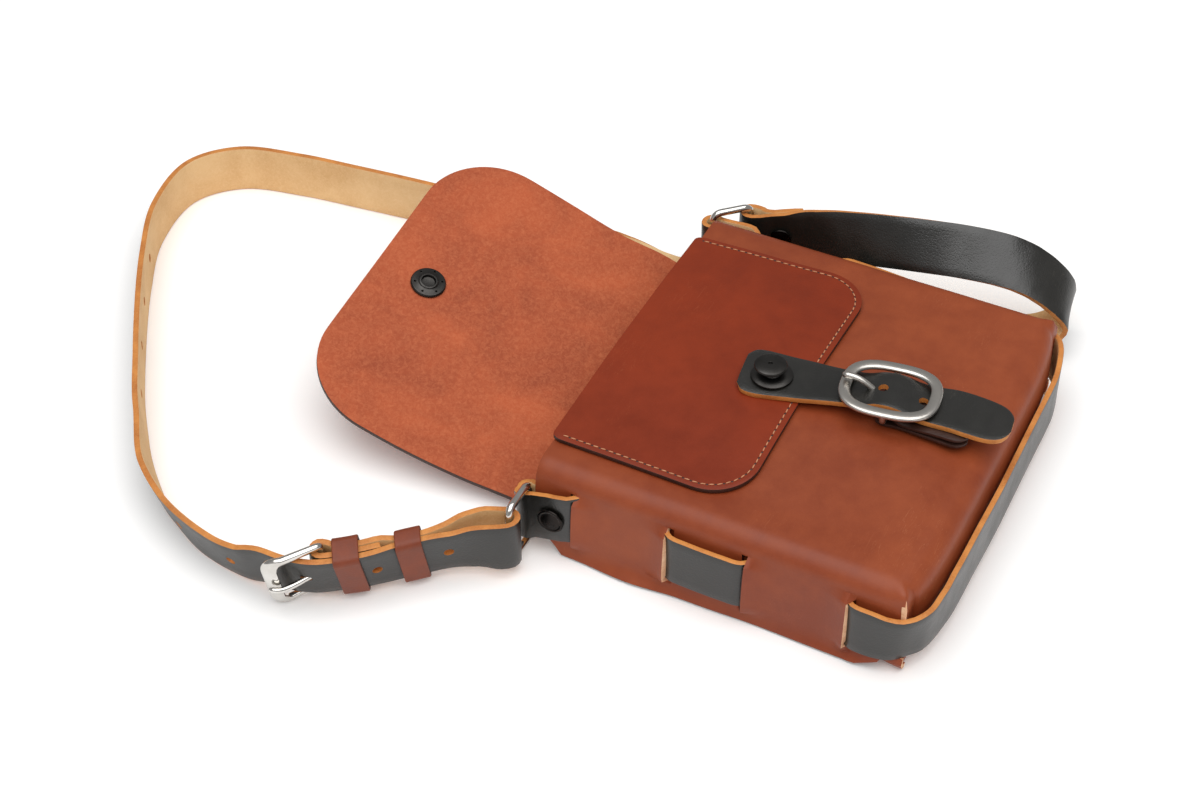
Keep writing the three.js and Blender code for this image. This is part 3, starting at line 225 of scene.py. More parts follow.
def tubePiece(name, points, radius, sides):
    # a grid rolled round a row of points, closed to rounded ends
    path = curvePoints(points, 1.2)
    ends = ((0, 0.0), (0.12, 0.5), (0.4, 0.8), (0.8, 0.96))  # reach and width, in shares of the radius
    stations = [(path[0], path[1] - path[0], reach, share) for reach, share in ends]
    for k in range(1, len(path) - 1):
        stations.append((path[k], path[k + 1] - path[k - 1], 0, 1))
    stations += [(path[-1], path[-1] - path[-2], -reach, share) for reach, share in reversed(ends)]
    side = Vector((0.31, 0.17, 0.93))  # along none of the tubes

    def point(i, j):
        at, run, reach, share = stations[i]
        run = run.normalized()
        u = (side - run * side.dot(run)).normalized()
        w = run.cross(u)
        a = 2 * math.pi * j / sides
        return at + run * reach * radius + (u * math.cos(a) + w * math.sin(a)) * radius * share

    piece, cells = addGrid(name, len(stations) - 1, sides, point)
    cleanMesh(piece)
    return piece


def combine(piece, other, operation="DIFFERENCE"):
    # cuts the other piece away from this one, or joins it on, and removes it
    applyModifier(piece, "BOOLEAN", object=other, operation=operation, solver="EXACT")
    bpy.data.objects.remove(other, do_unlink=True)


def holeCutter(spots, radius, materials, rim):
    # round punches at (point, direction), joined to one cutter that leaves the rim material
    punches = []
    for at, axis, reach in spots:
        deselectAll()
        bpy.ops.mesh.primitive_cylinder_add(vertices=20, radius=radius / 1000, depth=2 * reach / 1000)
        punch = takeActive("punch")
        punch.data.transform(Matrix.Translation(place(at)) @ turnTo(axis).to_4x4())
        setMaterials(punch, *materials)
        paintFaces(punch, rim)
        punches.append(punch)
    return joinPieces(punches)


def curveSegments(points):
    # centripetal spline pieces through the points
    row = [points[0] * 2 - points[1], *points, points[-1] * 2 - points[-2]]
    for i in range(len(points) - 1):
        a, b, c, d = row[i:i + 4]
        da, db, dc = ((b - a).length ** 0.5, (c - b).length ** 0.5, (d - c).length ** 0.5)
        start = ((b - a) / da - (c - a) / (da + db) + (c - b) / db) * db
        stop = ((c - b) / db - (d - b) / (db + dc) + (d - c) / dc) * db
        yield i, b, c, start, stop


def curveAt(b, c, start, stop, s):
    at = b * (1 + 2 * s) * (1 - s) ** 2 + start * s * (1 - s) ** 2
    at = at + c * s * s * (3 - 2 * s) + stop * s * s * (s - 1)
    run = (b - c) * (6 * s * s - 6 * s) + start * (1 - s) * (1 - 3 * s) + stop * s * (3 * s - 2)
    return at, run.normalized()


def curvePoints(points, step):
    found = []
    for i, b, c, start, stop in curveSegments(points):
        parts = max(2, round((c - b).length / step))
        found += [curveAt(b, c, start, stop, k / parts)[0] for k in range(parts)]
    return found + [points[-1]]


def strapFrames(rows, step):
    # centre, edge direction and outward face along a strap; a row is a point and, unless upright, an edge direction
    points = [Vector(row[:3]) for row in rows]
    edges = [Vector(row[3:6]) if len(row) > 3 else upward for row in rows]
    frames = []
    for i, b, c, start, stop in curveSegments(points):
        parts = max(2, round((c - b).length / step))
        for k in range(parts + (i == len(points) - 2)):
            at, run = curveAt(b, c, start, stop, k / parts)
            edge = edges[i].lerp(edges[i + 1], smooth(k / parts))
            edge = (edge - run * edge.dot(run)).normalized()
            frames.append((at, edge, edge.cross(run)))
    return frames


def strapPiece(name, frames, width, thick, materials, across=6, shape=None):
    # a strap as one sheet given thickness: grain outside, flesh inside, dyed or raw edge
    def point(i, j):
        at, edge, face = frames[i]
        s = j / across - 0.5
        half = width if shape is None else width * shape(i / (len(frames) - 1))
        return at + edge * s * half + face * (0.12 - 0.5 * s * s)

    piece, cells = addGrid(name, len(frames) - 1, across, point)
    setMaterials(piece, *materials)
    applyModifier(piece, "SOLIDIFY", thickness=thick / 1000, offset=0, use_even_offset=False,
                  material_offset=1, material_offset_rim=2)
    return piece


def thicken(piece, thick):
    # thickness below a sheet's upper face, with the next two materials on its lower face and edge
    applyModifier(piece, "SOLIDIFY", thickness=thick / 1000, offset=-1, use_even_offset=True,
                  thickness_clamp=0.6, material_offset=1, material_offset_rim=2)


def roundEdges(piece, width, angle=50):
    applyModifier(piece, "BEVEL", width=width / 1000, segments=2, limit_method="ANGLE",
                  angle_limit=math.radians(angle), use_clamp_overlap=True)


def barSection(wide, tall, power=1.0):
    # section of a metal bar; a power below 1 squares it off
    section = []
    for k in range(16):
        q = 2 * math.pi * k / 16
        across, up = (math.copysign(abs(g) ** power, g) for g in (math.cos(q), math.sin(q)))
        section.append((wide * across, tall * up))
    return section


def finishPiece(piece, node, angle=38):
    # nothing reaches below the floor; then the piece rides on the part and stands for its solid
    for vert in piece.data.vertices:
        vert.co.z = max(0, vert.co.z)
    shadeByAngle(piece, angle)
    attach(piece, "root")
    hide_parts(node)


# Shared surface effects

def newGroup(name, inputs, outputs):
    group = bpy.data.node_groups.new(name, "ShaderNodeTree")
    group.interface.new_socket("Vector", in_out="INPUT", socket_type="NodeSocketVector")
    for label, value in inputs.items():
        group.interface.new_socket(label, in_out="INPUT", socket_type="NodeSocketFloat").default_value = value
    for label in outputs:
        group.interface.new_socket(label, in_out="OUTPUT", socket_type="NodeSocketFloat")
    return group, group.nodes.new("NodeGroupInput").outputs, group.nodes.new("NodeGroupOutput").inputs


def addNode(tree, kind, inputs, **settings):
    # inputs are linked where a socket is given, and set otherwise
    node = tree.nodes.new(kind)
    for key, value in settings.items():
        setattr(node, key, value)
    for key, value in inputs.items():
        if isinstance(value, bpy.types.NodeSocket):
            tree.links.new(value, node.inputs[key])
        else:
            node.inputs[key].default_value = value
    return node


def addMath(tree, operation, a, b=None, c=None):
    given = {k: v for k, v in enumerate((a, b, c)) if v is not None}
    return addNode(tree, "ShaderNodeMath", given, operation=operation).outputs[0]


def addRange(tree, value, low, high, toLow=0.0, toHigh=1.0):
    given = {"Value": value, "From Min": low, "From Max": high, "To Min": toLow, "To Max": toHigh}
    return addNode(tree, "ShaderNodeMapRange", given).outputs["Result"]


def addNoise(tree, vector, scale, detail=2.0, rough=0.5, warp=0.0):
    given = {"Vector": vector, "Scale": scale, "Detail": detail, "Roughness": rough, "Distortion": warp}
    return addNode(tree, "ShaderNodeTexNoise", given).outputs["Fac"]


def buildGrainGroup():
    # pores and creases of finished leather, cloudy dye, and sparse fine scratches
    group, given, result = newGroup("leatherGrain", {"Pore Scale": 900.0, "Cloud Scale": 16.0, "Crease": 0.4},
                                    ["Height", "Cloud", "Scuff"])
    where = given["Vector"]
    pores = addNode(group, "ShaderNodeTexVoronoi", {"Vector": where, "Scale": given["Pore Scale"]}, feature="F1")
    pit = addRange(group, pores.outputs["Distance"], 0.05, 0.6)
    crease = addNoise(group, where, addMath(group, "MULTIPLY", given["Pore Scale"], 0.22), 4.0, 0.6, 0.6)
    creaseHeight = addMath(group, "MULTIPLY", crease, given["Crease"])
    group.links.new(addMath(group, "MULTIPLY_ADD", pit, 0.45, creaseHeight), result["Height"])
    broad = addNoise(group, where, given["Cloud Scale"], 3.0, 0.55, 0.3)
    fine = addNoise(group, where, addMath(group, "MULTIPLY", given["Cloud Scale"], 7.0), 4.0, 0.6)
    cloud = addMath(group, "MULTIPLY_ADD", fine, 0.35, addMath(group, "MULTIPLY", broad, 0.65))
    group.links.new(addRange(group, cloud, 0.36, 0.64), result["Cloud"])
    bent = addNode(group, "ShaderNodeMapping", {"Vector": where, "Rotation": (0, 0, 0.6), "Scale": (1.0, 9.0, 4.0)})
    scratch = addNoise(group, bent.outputs["Vector"], 42.0, 2.0, 0.5, 1.4)
    ridge = addMath(group, "ABSOLUTE", addMath(group, "SUBTRACT", scratch, 0.5))
    line = addRange(group, ridge, 0.0, 0.006, 1.0, 0.0)
    patch = addRange(group, addNoise(group, where, 21.0, 1.0), 0.56, 0.68)
    group.links.new(addMath(group, "MULTIPLY", line, patch), result["Scuff"])
    return group


def buildNapGroup():
    # short fibres of a flesh side, with blotches where the nap lies another way
    group, given, result = newGroup("fleshNap", {"Fibre Scale": 700.0, "Blotch Scale": 22.0},
                                    ["Height", "Blotch", "Fleck"])
    where = given["Vector"]
    fibre = addNoise(group, where, given["Fibre Scale"], 5.0, 0.7, 0.8)
    coarse = addNoise(group, where, addMath(group, "MULTIPLY", given["Fibre Scale"], 0.3), 3.0, 0.6)
    height = addMath(group, "MULTIPLY_ADD", fibre, 0.6, addMath(group, "MULTIPLY", coarse, 0.4))
    group.links.new(height, result["Height"])
    broad = addNoise(group, where, given["Blotch Scale"], 5.0, 0.62, 0.5)
    group.links.new(addRange(group, broad, 0.34, 0.66), result["Blotch"])
    group.links.new(addRange(group, fibre, 0.42, 0.68), result["Fleck"])
    return group


def buildWearGroup():
    # faint smudges and hairlines on metal
    group, given, result = newGroup("metalWear", {"Line Scale": 300.0}, ["Smudge", "Height"])
    where = given["Vector"]
    group.links.new(addRange(group, addNoise(group, where, 110.0, 4.0, 0.6), 0.35, 0.7), result["Smudge"])
    drawn = addNode(group, "ShaderNodeMapping", {"Vector": where, "Scale": (1.0, 0.12, 0.4)})
    lines = addNoise(group, drawn.outputs["Vector"], given["Line Scale"], 3.0, 0.7)
    group.links.new(lines, result["Height"])
    return group


grainGroup = buildGrainGroup()
napGroup = buildNapGroup()
wearGroup = buildWearGroup()


def newMaterial(name):
    material = bpy.data.materials.new(name)
    material.use_nodes = True
    tree = material.node_tree
    tree.nodes.clear()
    shader = tree.nodes.new("ShaderNodeBsdfPrincipled")
    tree.links.new(shader.outputs["BSDF"], tree.nodes.new("ShaderNodeOutputMaterial").inputs["Surface"])
    where = tree.nodes.new("ShaderNodeTexCoord").outputs["Object"]
    return material, tree, shader, where


def mixColour(tree, share, a, b):
    # inputs 0, 6 and 7 are the share and the two colours
    return addNode(tree, "ShaderNodeMix", {0: share, 6: a, 7: b}, data_type="RGBA").outputs[2]


def addBump(tree, shader, height, strength, depth):
    bump = addNode(tree, "ShaderNodeBump", {"Height": height, "Strength": strength, "Distance": depth / 1000})
    tree.links.new(bump.outputs["Normal"], shader.inputs["Normal"])


def grainLeather(name, light, dark, scuff, rough, pore=900.0, cloud=16.0, crease=0.4, bump=0.35,
                 depth=0.25, shine=0.5):
    material, tree, shader, where = newMaterial(name)
    grain = addNode(tree, "ShaderNodeGroup", {"Vector": where, "Pore Scale": pore, "Cloud Scale": cloud,
                                              "Crease": crease}, node_tree=grainGroup).outputs
    share = addMath(tree, "MULTIPLY", grain["Scuff"], 0.35)
    colour = mixColour(tree, share, mixColour(tree, grain["Cloud"], dark, light), scuff)
    tree.links.new(colour, shader.inputs["Base Color"])
    tree.links.new(addRange(tree, grain["Cloud"], 0, 1, *rough), shader.inputs["Roughness"])
    addBump(tree, shader, grain["Height"], bump, depth)
    shader.inputs["Specular IOR Level"].default_value = shine
    return material


def napLeather(name, light, dark, fleck, rough=0.85, fibre=700.0, blotch=22.0, bump=0.5, depth=0.3):
    material, tree, shader, where = newMaterial(name)
    nap = addNode(tree, "ShaderNodeGroup", {"Vector": where, "Fibre Scale": fibre, "Blotch Scale": blotch},
                  node_tree=napGroup).outputs
    share = addMath(tree, "MULTIPLY", nap["Fleck"], 0.4)
    colour = mixColour(tree, share, mixColour(tree, nap["Blotch"], dark, light), fleck)
    tree.links.new(colour, shader.inputs["Base Color"])
    shader.inputs["Roughness"].default_value = rough
    addBump(tree, shader, nap["Height"], bump, depth)
    return material


def metalFinish(name, colour, smudged, rough, lines=300.0, bump=0.05):
    material, tree, shader, where = newMaterial(name)
    wear = addNode(tree, "ShaderNodeGroup", {"Vector": where, "Line Scale": lines}, node_tree=wearGroup).outputs
    tree.links.new(mixColour(tree, wear["Smudge"], colour, smudged), shader.inputs["Base Color"])
    tree.links.new(addRange(tree, wear["Smudge"], 0, 1, *rough), shader.inputs["Roughness"])
    shader.inputs["Metallic"].default_value = 1
    addBump(tree, shader, wear["Height"], bump, 0.1)
    return material


bagGrain = grainLeather("bagGrain", srgb(149, 70, 35), srgb(127, 54, 26), srgb(196, 124, 86), (0.42, 0.52),
                        pore=850, cloud=15, crease=0.5, bump=0.22, depth=0.2, shine=0.36)
# chape: brown leather like the bag's, its colour darkened to paint the shade the closing tab casts over it
chapeGrainShaded = grainLeather("chapeGrainShaded", srgb(58, 34, 26), srgb(42, 24, 18), srgb(96, 60, 44), (0.4, 0.52),
                          pore=900, cloud=30, shine=0.4)
bagSlitSide = bagGrain.copy()
bagSlitSide.name = "bagGrainSlit"
pocketGrain = grainLeather("pocketGrain", srgb(135, 46, 12), srgb(117, 38, 10), srgb(170, 90, 54), (0.42, 0.54),
                           pore=900, cloud=14, crease=0.5, bump=0.22, depth=0.2, shine=0.3)
flapSuede = napLeather("flapSuede", srgb(181, 85, 46), srgb(148, 65, 34), srgb(208, 120, 78), 0.82,
                       fibre=560, blotch=24, bump=0.7, depth=0.45)
bagFlesh = napLeather("bagFlesh", srgb(176, 92, 60), srgb(146, 70, 44), srgb(196, 118, 84), 0.88)
# dark dyed edge colour, also used as painted shade at the stitch holes and along the lips of the slots whose lip is on
# the bottom side
dyedEdgeAndShade = grainLeather("dyedEdgeAndShade", srgb(66, 34, 22), srgb(44, 22, 14), srgb(110, 62, 40), (0.5, 0.65),
                        pore=1300, cloud=60, bump=0.3)
rawEdge = napLeather("rawEdge", srgb(232, 186, 148), srgb(206, 148, 108), srgb(240, 206, 172), 0.9,
                     fibre=1500, blotch=160)
strapGrain = grainLeather("strapGrain", srgb(29, 27, 23), srgb(21, 20, 17), srgb(92, 86, 78), (0.3, 0.42),
                          pore=1100, cloud=22, crease=0.7, bump=0.42, depth=0.22, shine=0.7)
strapFlesh = napLeather("strapFlesh", srgb(230, 192, 140), srgb(212, 168, 114), srgb(238, 206, 160), 0.86,
                        fibre=900, blotch=30, bump=0.4)
strapEdge = napLeather("strapEdge", srgb(208, 134, 62), srgb(176, 102, 40), srgb(222, 160, 92), 0.62,
                       fibre=1400, blotch=90, bump=0.25)
keeperGrain = grainLeather("keeperGrain", srgb(130, 60, 33), srgb(106, 46, 25), srgb(168, 104, 74), (0.42, 0.55),
                           pore=1000, cloud=30, shine=0.4)
threadFibre = napLeather("threadFibre", srgb(196, 138, 100), srgb(168, 110, 76), srgb(212, 164, 128), 0.8,
                         fibre=2600, blotch=300, bump=0.4, depth=0.1)
satinNickel = metalFinish("satinNickel", srgb(206, 202, 196), srgb(186, 181, 174), (0.26, 0.4), 420, 0.08)
brightNickel = metalFinish("brightNickel", srgb(222, 219, 214), srgb(200, 196, 190), (0.1, 0.22), 260, 0.03)
gunmetal = metalFinish("gunmetal", srgb(74, 72, 70), srgb(54, 52, 50), (0.34, 0.48), 300, 0.06)
blackMetal = metalFinish("blackMetal", srgb(44, 40, 38), srgb(30, 28, 27), (0.2, 0.32), 300, 0.04)
strapSet = (strapGrain, strapFlesh, strapEdge)
print("materials ready")

# Camera and light come first
view = {
    "eye": (-725.1, -255.6, 736.3), "aim": (2.2, 98.1, 0.0), "lens": 72, "sensor": 36,
    "sky": 0.3, "floor": srgb(250, 249, 248), "floorGlow": 0.1, "floorDrop": 0.0002,
    # lamps: place, aim, size, power
    "lamps": {"topSoftbox": ((-0.5, -0.2, 2.1), (0, 0.05, 0), 2.8, 62),
              "sideFill": ((-1.5, 0.5, 0.7), (0, 0.05, 0.02), 1.2, 0.5)},
}


def addLight(name, at, aim, size, power):
    deselectAll()
    bpy.ops.object.light_add(type="AREA", location=at)
    lamp = takeActive(name)
    lamp.data.size = size
    lamp.data.energy = power
    lamp.rotation_euler = (Vector(aim) - Vector(at)).to_track_quat("-Z", "Y").to_euler()


def buildStage():
    deselectAll()
    eye = Vector(view["eye"]) / 1000
    aim = Vector(view["aim"]) / 1000
    bpy.ops.object.camera_add(location=eye)
    camera = takeActive("camera")
    camera.rotation_euler = (aim - eye).to_track_quat("-Z", "Y").to_euler()
    camera.data.lens = view["lens"]
    camera.data.sensor_width = view["sensor"]
    camera.data.clip_start = 0.05
    bpy.context.scene.camera = camera
    world = bpy.data.worlds.new("softRoom")
    bpy.context.scene.world = world
    world.use_nodes = True
    back = world.node_tree.nodes.get("Background") or world.node_tree.nodes.new("ShaderNodeBackground")
    output = world.node_tree.nodes.get("World Output") or world.node_tree.nodes.new("ShaderNodeOutputWorld")
    world.node_tree.links.new(back.outputs["Background"], output.inputs["Surface"])
    back.inputs["Color"].default_value = (1, 1, 1, 1)
    back.inputs["Strength"].default_value = view["sky"]
    for name, lamp in view["lamps"].items():
        addLight(name, *lamp)
    deselectAll()
    bpy.ops.mesh.primitive_plane_add(size=12, location=(0, 0, 0))
    floor = takeActive("floor")
    floor.data.transform(Matrix.Translation((0, 0, -view["floorDrop"])))
    paper, tree, shader, where = newMaterial("floorPaper")
    for label, value in (("Base Color", view["floor"]), ("Roughness", 0.9), ("Specular IOR Level", 0.1),
                         ("Emission Color", view["floor"]), ("Emission Strength", view["floorGlow"])):
        shader.inputs[label].default_value = value
    setMaterials(floor, paper)
    bpy.context.scene.view_settings.view_transform = "Standard"


buildStage()
print("camera, light and floor ready")

# Bag body measures that several pieces share
body = {
    # half widths at the bottom and at the mouth, on the near and the far side
    "length": 166.0, "depth": 45.0, "near": (92.6, 90.5), "far": (97.5, 99.0), "fold": 9.0,
    "lean": 1.5, "hemStart": 6.5, "leather": 2.4, "backLeather": 2.2,
    # along the bag: y, flare of the side hem, crown of the panel
    "rows": [(-4, 2.6, 0), (9, 3.2, 0), (26, 3.3, 1.9), (60, 1.5, 3.7), (98, 2.4, 4), (120, 4.6, 3.7), (142, 2.2, 3),
             (166, 0.8, 2)],
}
wallTop = body["depth"] - body["fold"]  # where the walls turn into the folds
flareAt = eased(body["rows"], 1)
crownAt = eased(body["rows"], 2)


def topHalf(y, side):
    bottom, mouth = body["far" if side > 0 else "near"]
    return bottom + (mouth - bottom) * y / body["length"]


def wallHalf(y, side):
    return topHalf(y, side) + body["lean"]


def wallBow(z):
    # how far a wall bows out, most where its hem starts
    start = body["hemStart"]
    return body["lean"] * (1 - ((z - start) / (wallTop - start)) ** 2)


def panelTop(x, y):
    s = min(1, abs(x) / (topHalf(y, x) - body["fold"]))
    return body["depth"] + crownAt(y) * (1 - s * s) ** 2


# Lacing strap that runs through the walls and round the bottom
lacing = {
    "width": 24.5, "thick": 2.5, "height": 20.2, "step": 2.2, "edge": 0.45, "rivetHole": 2.1,
    # rise along the wall and drop per millimetre past the turn, near and far
    "turn": 150.0, "near": (3.3, 0.24), "far": (8.0, 0.08), "wire": (169.2, -1.2), "rivetY": 156.4,
    # one side from the tail inside the mouth: y, distance out of the wall's outer face
    "side": [(152.5, -4.5), (159, -4.5), (165, -4.45), (169.2, -5.2), (172.25, -4.1), (173.4, -1.2), (172.25, 1.7),
             (169.2, 2.8), (165, 2.1), (158.5, 1.9), (153, 1.9), (149, 1.2), (145.2, -2.6), (141.4, -6.6),
             (135, -7.9), (118, -7.9), (111.5, -7), (107, -2.8), (102.5, 1.4), (95, 2.1), (79, 2.1), (71, 1.4),
             (66.5, -2.8), (62, -7), (54, -7.9), (39, -7.9), (31, -7), (26.5, -2.8), (22, 1.4), (14, 2.1)],
    # round the bottom, near side first: x, y, and how its edge leans at the near corner
    "bottom": [(-95.3, 6, -0.06, -0.02), (-93.3, 1.6, -0.12, -0.06), (-89.9, -1.8, -0.11, -0.11),
               (-83.9, -5.7, -0.06, -0.09), (-72, -7.8, 0, -0.05), (-58, -8.7), (-33, -9), (-6, -9.4),
               (14, -9.2), (41, -8.9), (62, -8.8), (71, -8.5), (78, -7.6), (85, -6.2), (91, -4.6), (95.9, -2.3),
               (99.4, 1.2), (101, 6.5)],
}


def lacingHeight(side, y):
    rise, drop = lacing["far" if side > 0 else "near"]
    turn = lacing["turn"]
    return lacing["height"] + rise * min(turn, max(0, y)) / turn - drop * max(0, y - turn)


def rivetSpots(inside, reach):
    # punches for the mouth rivets, this far inside the wall's outer face
    y = lacing["rivetY"]
    return [(Vector((side * (wallHalf(y, side) - inside), y, lacingHeight(side, y))), Vector((1, 0, 0)), reach)
            for side in (-1, 1)]


def lacingRows():
    def oneSide(side):
        return [(side * (wallHalf(y, side) + off), y, lacingHeight(side, y)) for y, off in lacing["side"]]

    bottom = [(x, y, lacing["height"], *(lean or (0, 0)), 1) for x, y, *lean in lacing["bottom"]]
    return oneSide(-1) + bottom + oneSide(1)[::-1]


def buildLacing():
    piece = strapPiece("lacing_strap", strapFrames(lacingRows(), lacing["step"]), lacing["width"],
                       lacing["thick"], (strapFlesh, strapGrain, strapEdge))
    roundEdges(piece, lacing["edge"])
    combine(piece, holeCutter(rivetSpots(1.3, 8), lacing["rivetHole"], strapSet, 2))
    finishPiece(piece, "harness")


buildLacing()
print("lacing strap built")

# Front shell: one sheet folded down on three sides, slit at the bottom corners, slotted for the lacing
front = {
    "hem": 0.6, "panelCells": 40, "rowStep": 3.4, "edge": 0.35,
    # the hem rises toward the bottom corner and toward the mouth: where from, how much, over what run
    "hemCorner": (22, 11, 24), "hemMouth": 152, "hemNear": (152, 14, 15), "hemFar": (148, 19.4, 18.5),
    # bottom corners: bluntness in plan, lift of the tip, and how the slit opens below it
    "cornerPower": 4.4, "cornerLift": 5.0, "slitOpens": 3.0, "slitBack": 1.3, "slitPast": 0.6,
    # the walls' cut ends tuck in behind the lacing: how much, below what height, over what run
    "sideTuck": (3.4, 18, 7), "endTuck": (0.55, 19, 8),
    "wallLevels": [0.6, 1.8, 3.4, 5.4, 8, 11, 14, 17, 20, 23, 26, 28.4, 30.6, 33.2],
    "bottomLevels": [10.4, 12.4, 15, 18, 21, 24, 27, 30, 33],
    "foldAngles": [0, 12, 24, 36, 48, 60, 70, 80, 90],
    # bottom wall bulging out to the lacing: height and how far out, and its share along the wall by x
    "bulge": [(7, 0), (13, 2.8), (19, 5.2), (25, 6.2), (30.5, 6), (36, 4.6)],
    "bulgeShare": [(-88, 0), (-82, 0.4), (-72, 0.73), (-55, 0.92), (-30, 0.99), (0, 1), (40, 0.99), (60, 0.93),
                   (72, 0.76), (80, 0.55), (87, 0.27), (93, 0)],
    # slots: the two cut edges along the bag, and which side's lip lies over the strap (1 the mouth side)
    "slots": [(147.0, 149.5, -1), (102.0, 104.7, 1), (68.8, 71.5, -1), (21.5, 24.2, 1)],
    "lip": 4.3, "lipReach": 14.0, "slotHalf": 12.9, "slotFrom": 79.0,
}


def lipOut(side, y, z):
    # how far the leather beside a slot stands off the wall
    out = 0
    high = abs(z - lacingHeight(side, y)) - front["slotHalf"]
    fade = 4.5 if z < 15 else 7  # shorter toward the hem
    window = 1 - smooth(high / fade)
    for low, top, over in front["slots"]:
        edge = top if over > 0 else low
        d = (y - edge) * over
        if -0.01 <= d < front["lipReach"]:
            out = max(out, front["lip"] * (1 - d / front["lipReach"]) ** 2)
        d = ((low if over > 0 else top) - y) * over
        if -0.01 <= d < 6:
            out = min(out, -0.35 * (1 - d / 6)) if out <= 0 else out
    return out * window


def hemLow(side, y):
    low = front["hem"] + 0.16 * flareAt(y)
    start, rise, run = front["hemCorner"]
    if y < start:
        low = max(low, rise * (start - y) / run)
    if y > front["hemMouth"]:
        start, rise, run = front["hemFar" if side > 0 else "hemNear"]
        low = max(low, rise * (y - start) / run)
    return low


def wallLean(side, y, z):
    lean = wallBow(z)
    flare = flareAt(y) * (0.1 if side > 0 else 1)
    if z < body["hemStart"]:
        lean = body["lean"] + flare * ((body["hemStart"] - z) / 6) ** 1.4
    if side < 0:
        # the near wall stands out low down by the bottom corner
        lean += 1.8 * smooth((24 - y) / 14) * smooth((13 - z) / 8)
    sag = soften(side * 40, y, z * 0.6, 26, 0.7) * smooth((wallTop - z) / 12)
    return lean + sag + lipOut(side, y, z)


def frontColumns():
    columns = [("wall", z, -1) for z in front["wallLevels"]]
    columns += [("fold", math.radians(a), -1) for a in reversed(front["foldAngles"])][:-1]
    cells = front["panelCells"]
    columns += [("top", 2 * k / cells - 1, 0) for k in range(cells + 1)]
    columns += [("fold", math.radians(a), 1) for a in front["foldAngles"]][1:]
    columns += [("wall", z, 1) for z in reversed(front["wallLevels"])]
    return columns


def frontRows():
    rows = [("wall", z) for z in front["bottomLevels"]]
    rows += [("fold", math.radians(a)) for a in reversed(front["foldAngles"])][:-1]
    marks = sorted([body["fold"], body["length"], *(v for s in front["slots"] for v in s[:2])])
    for low, high in zip(marks, marks[1:]):
        rows += [("panel", y) for y in spaced(low, high, front["rowStep"])[:-1]]
    return rows + [("panel", body["length"])]


bulgeAt = eased(front["bulge"], 1)
bulgeShare = eased(front["bulgeShare"], 1)


def cornerPlan(degrees):
    # plan of a bottom corner with a blunt tip, as shares of the fold radius
    a = math.radians(degrees)
    c, s = math.cos(a), math.sin(a)
    far = (c ** front["cornerPower"] + s ** front["cornerPower"]) ** (-1 / front["cornerPower"])
    return c * far, s * far


def frontPoint(row, column):
    rowZone, r = row
    zone, c, side = column
    fold, depth = body["fold"], body["depth"]
    y = r if rowZone == "panel" else fold
    half = topHalf(y, side or c)
    flat = half - fold
    if rowZone == "panel":
        if zone == "top":
            x = c * flat
            edge = smooth((1 - abs(c)) * 5)
            return x, y, panelTop(x, y) + soften(x, y, 3, 34, 0.55) * edge - 0.3 * edge
        if zone == "fold":
            dent = soften(side * 70, y, 20 + 10 * c, 30, 0.5) * math.sin(c)
            return side * (flat + (fold + dent) * math.sin(c)), y, depth - fold + fold * math.cos(c)
        low = hemLow(side, y)
        z = wallTop - (wallTop - c) * (wallTop - low) / (wallTop - front["hem"])
        return side * (half + wallLean(side, y, z)), y, z
    if zone == "top":
        out = bulgeShare(c * flat)
        if rowZone == "fold":
            reach = fold + bulgeAt(wallTop) * out
            return c * flat, fold - reach * math.sin(r), depth - fold + fold * math.cos(r)
        return c * flat, soften(c * 80, 5, r, 30, 0.25) - bulgeAt(r) * out, r
    a = c / (math.pi / 2) if zone == "fold" else 1
    b = r / (math.pi / 2) if rowZone == "fold" else 1
    if zone == "fold" and rowZone == "fold":
        steep = max(a, b) * math.pi / 2
        turn = 0 if max(a, b) == 0 else (45 * b / a if a >= b else 90 - 45 * a / b)
        u, v = cornerPlan(turn)
        reach = fold * math.sin(steep)
        apart = 0 if max(a, b) == 0 else min(a, b) / max(a, b)
        drop = (fold - front["cornerLift"] * apart * apart) * (1 - math.cos(steep))
        return side * (flat + reach * u), fold - reach * v, depth - drop
    if rowZone == "fold":
        # side wall beside the slit: it stops short behind the bottom wall's cut end
        low = hemLow(side, fold * (1 - b))
        top = wallTop + front["cornerLift"] * b * b
        z = top - (wallTop - c) * (top - low) / (wallTop - front["hem"])
        u, v = cornerPlan(45 * b)
        opened = smooth((top - z) / front["slitOpens"])
        tuck, level, run = front["sideTuck"]
        x = fold * u * (1 - opened) + fold * opened + wallBow(z) - tuck * b * smooth((level - z) / run)
        return side * (flat + x), fold - fold * v * (1 - opened) - (fold - front["slitBack"]) * b * opened, z
    # bottom wall's cut end, which laps past the side wall
    top = wallTop + front["cornerLift"] * a * a
    low = front["bottomLevels"][0]
    z = top - (wallTop - r) * (top - low) / (wallTop - low)
    opened = smooth((top - z) / front["slitOpens"])
    u, v = cornerPlan(90 - 45 * a)
    tuck, level, run = front["endTuck"]
    kept = 1 - tuck * smooth((level - z) / run)
    x = fold * u * (1 - opened) + (fold + front["slitPast"]) * a * opened * kept
    return side * (flat + x), fold - fold * v * (1 - opened) - fold * opened, z


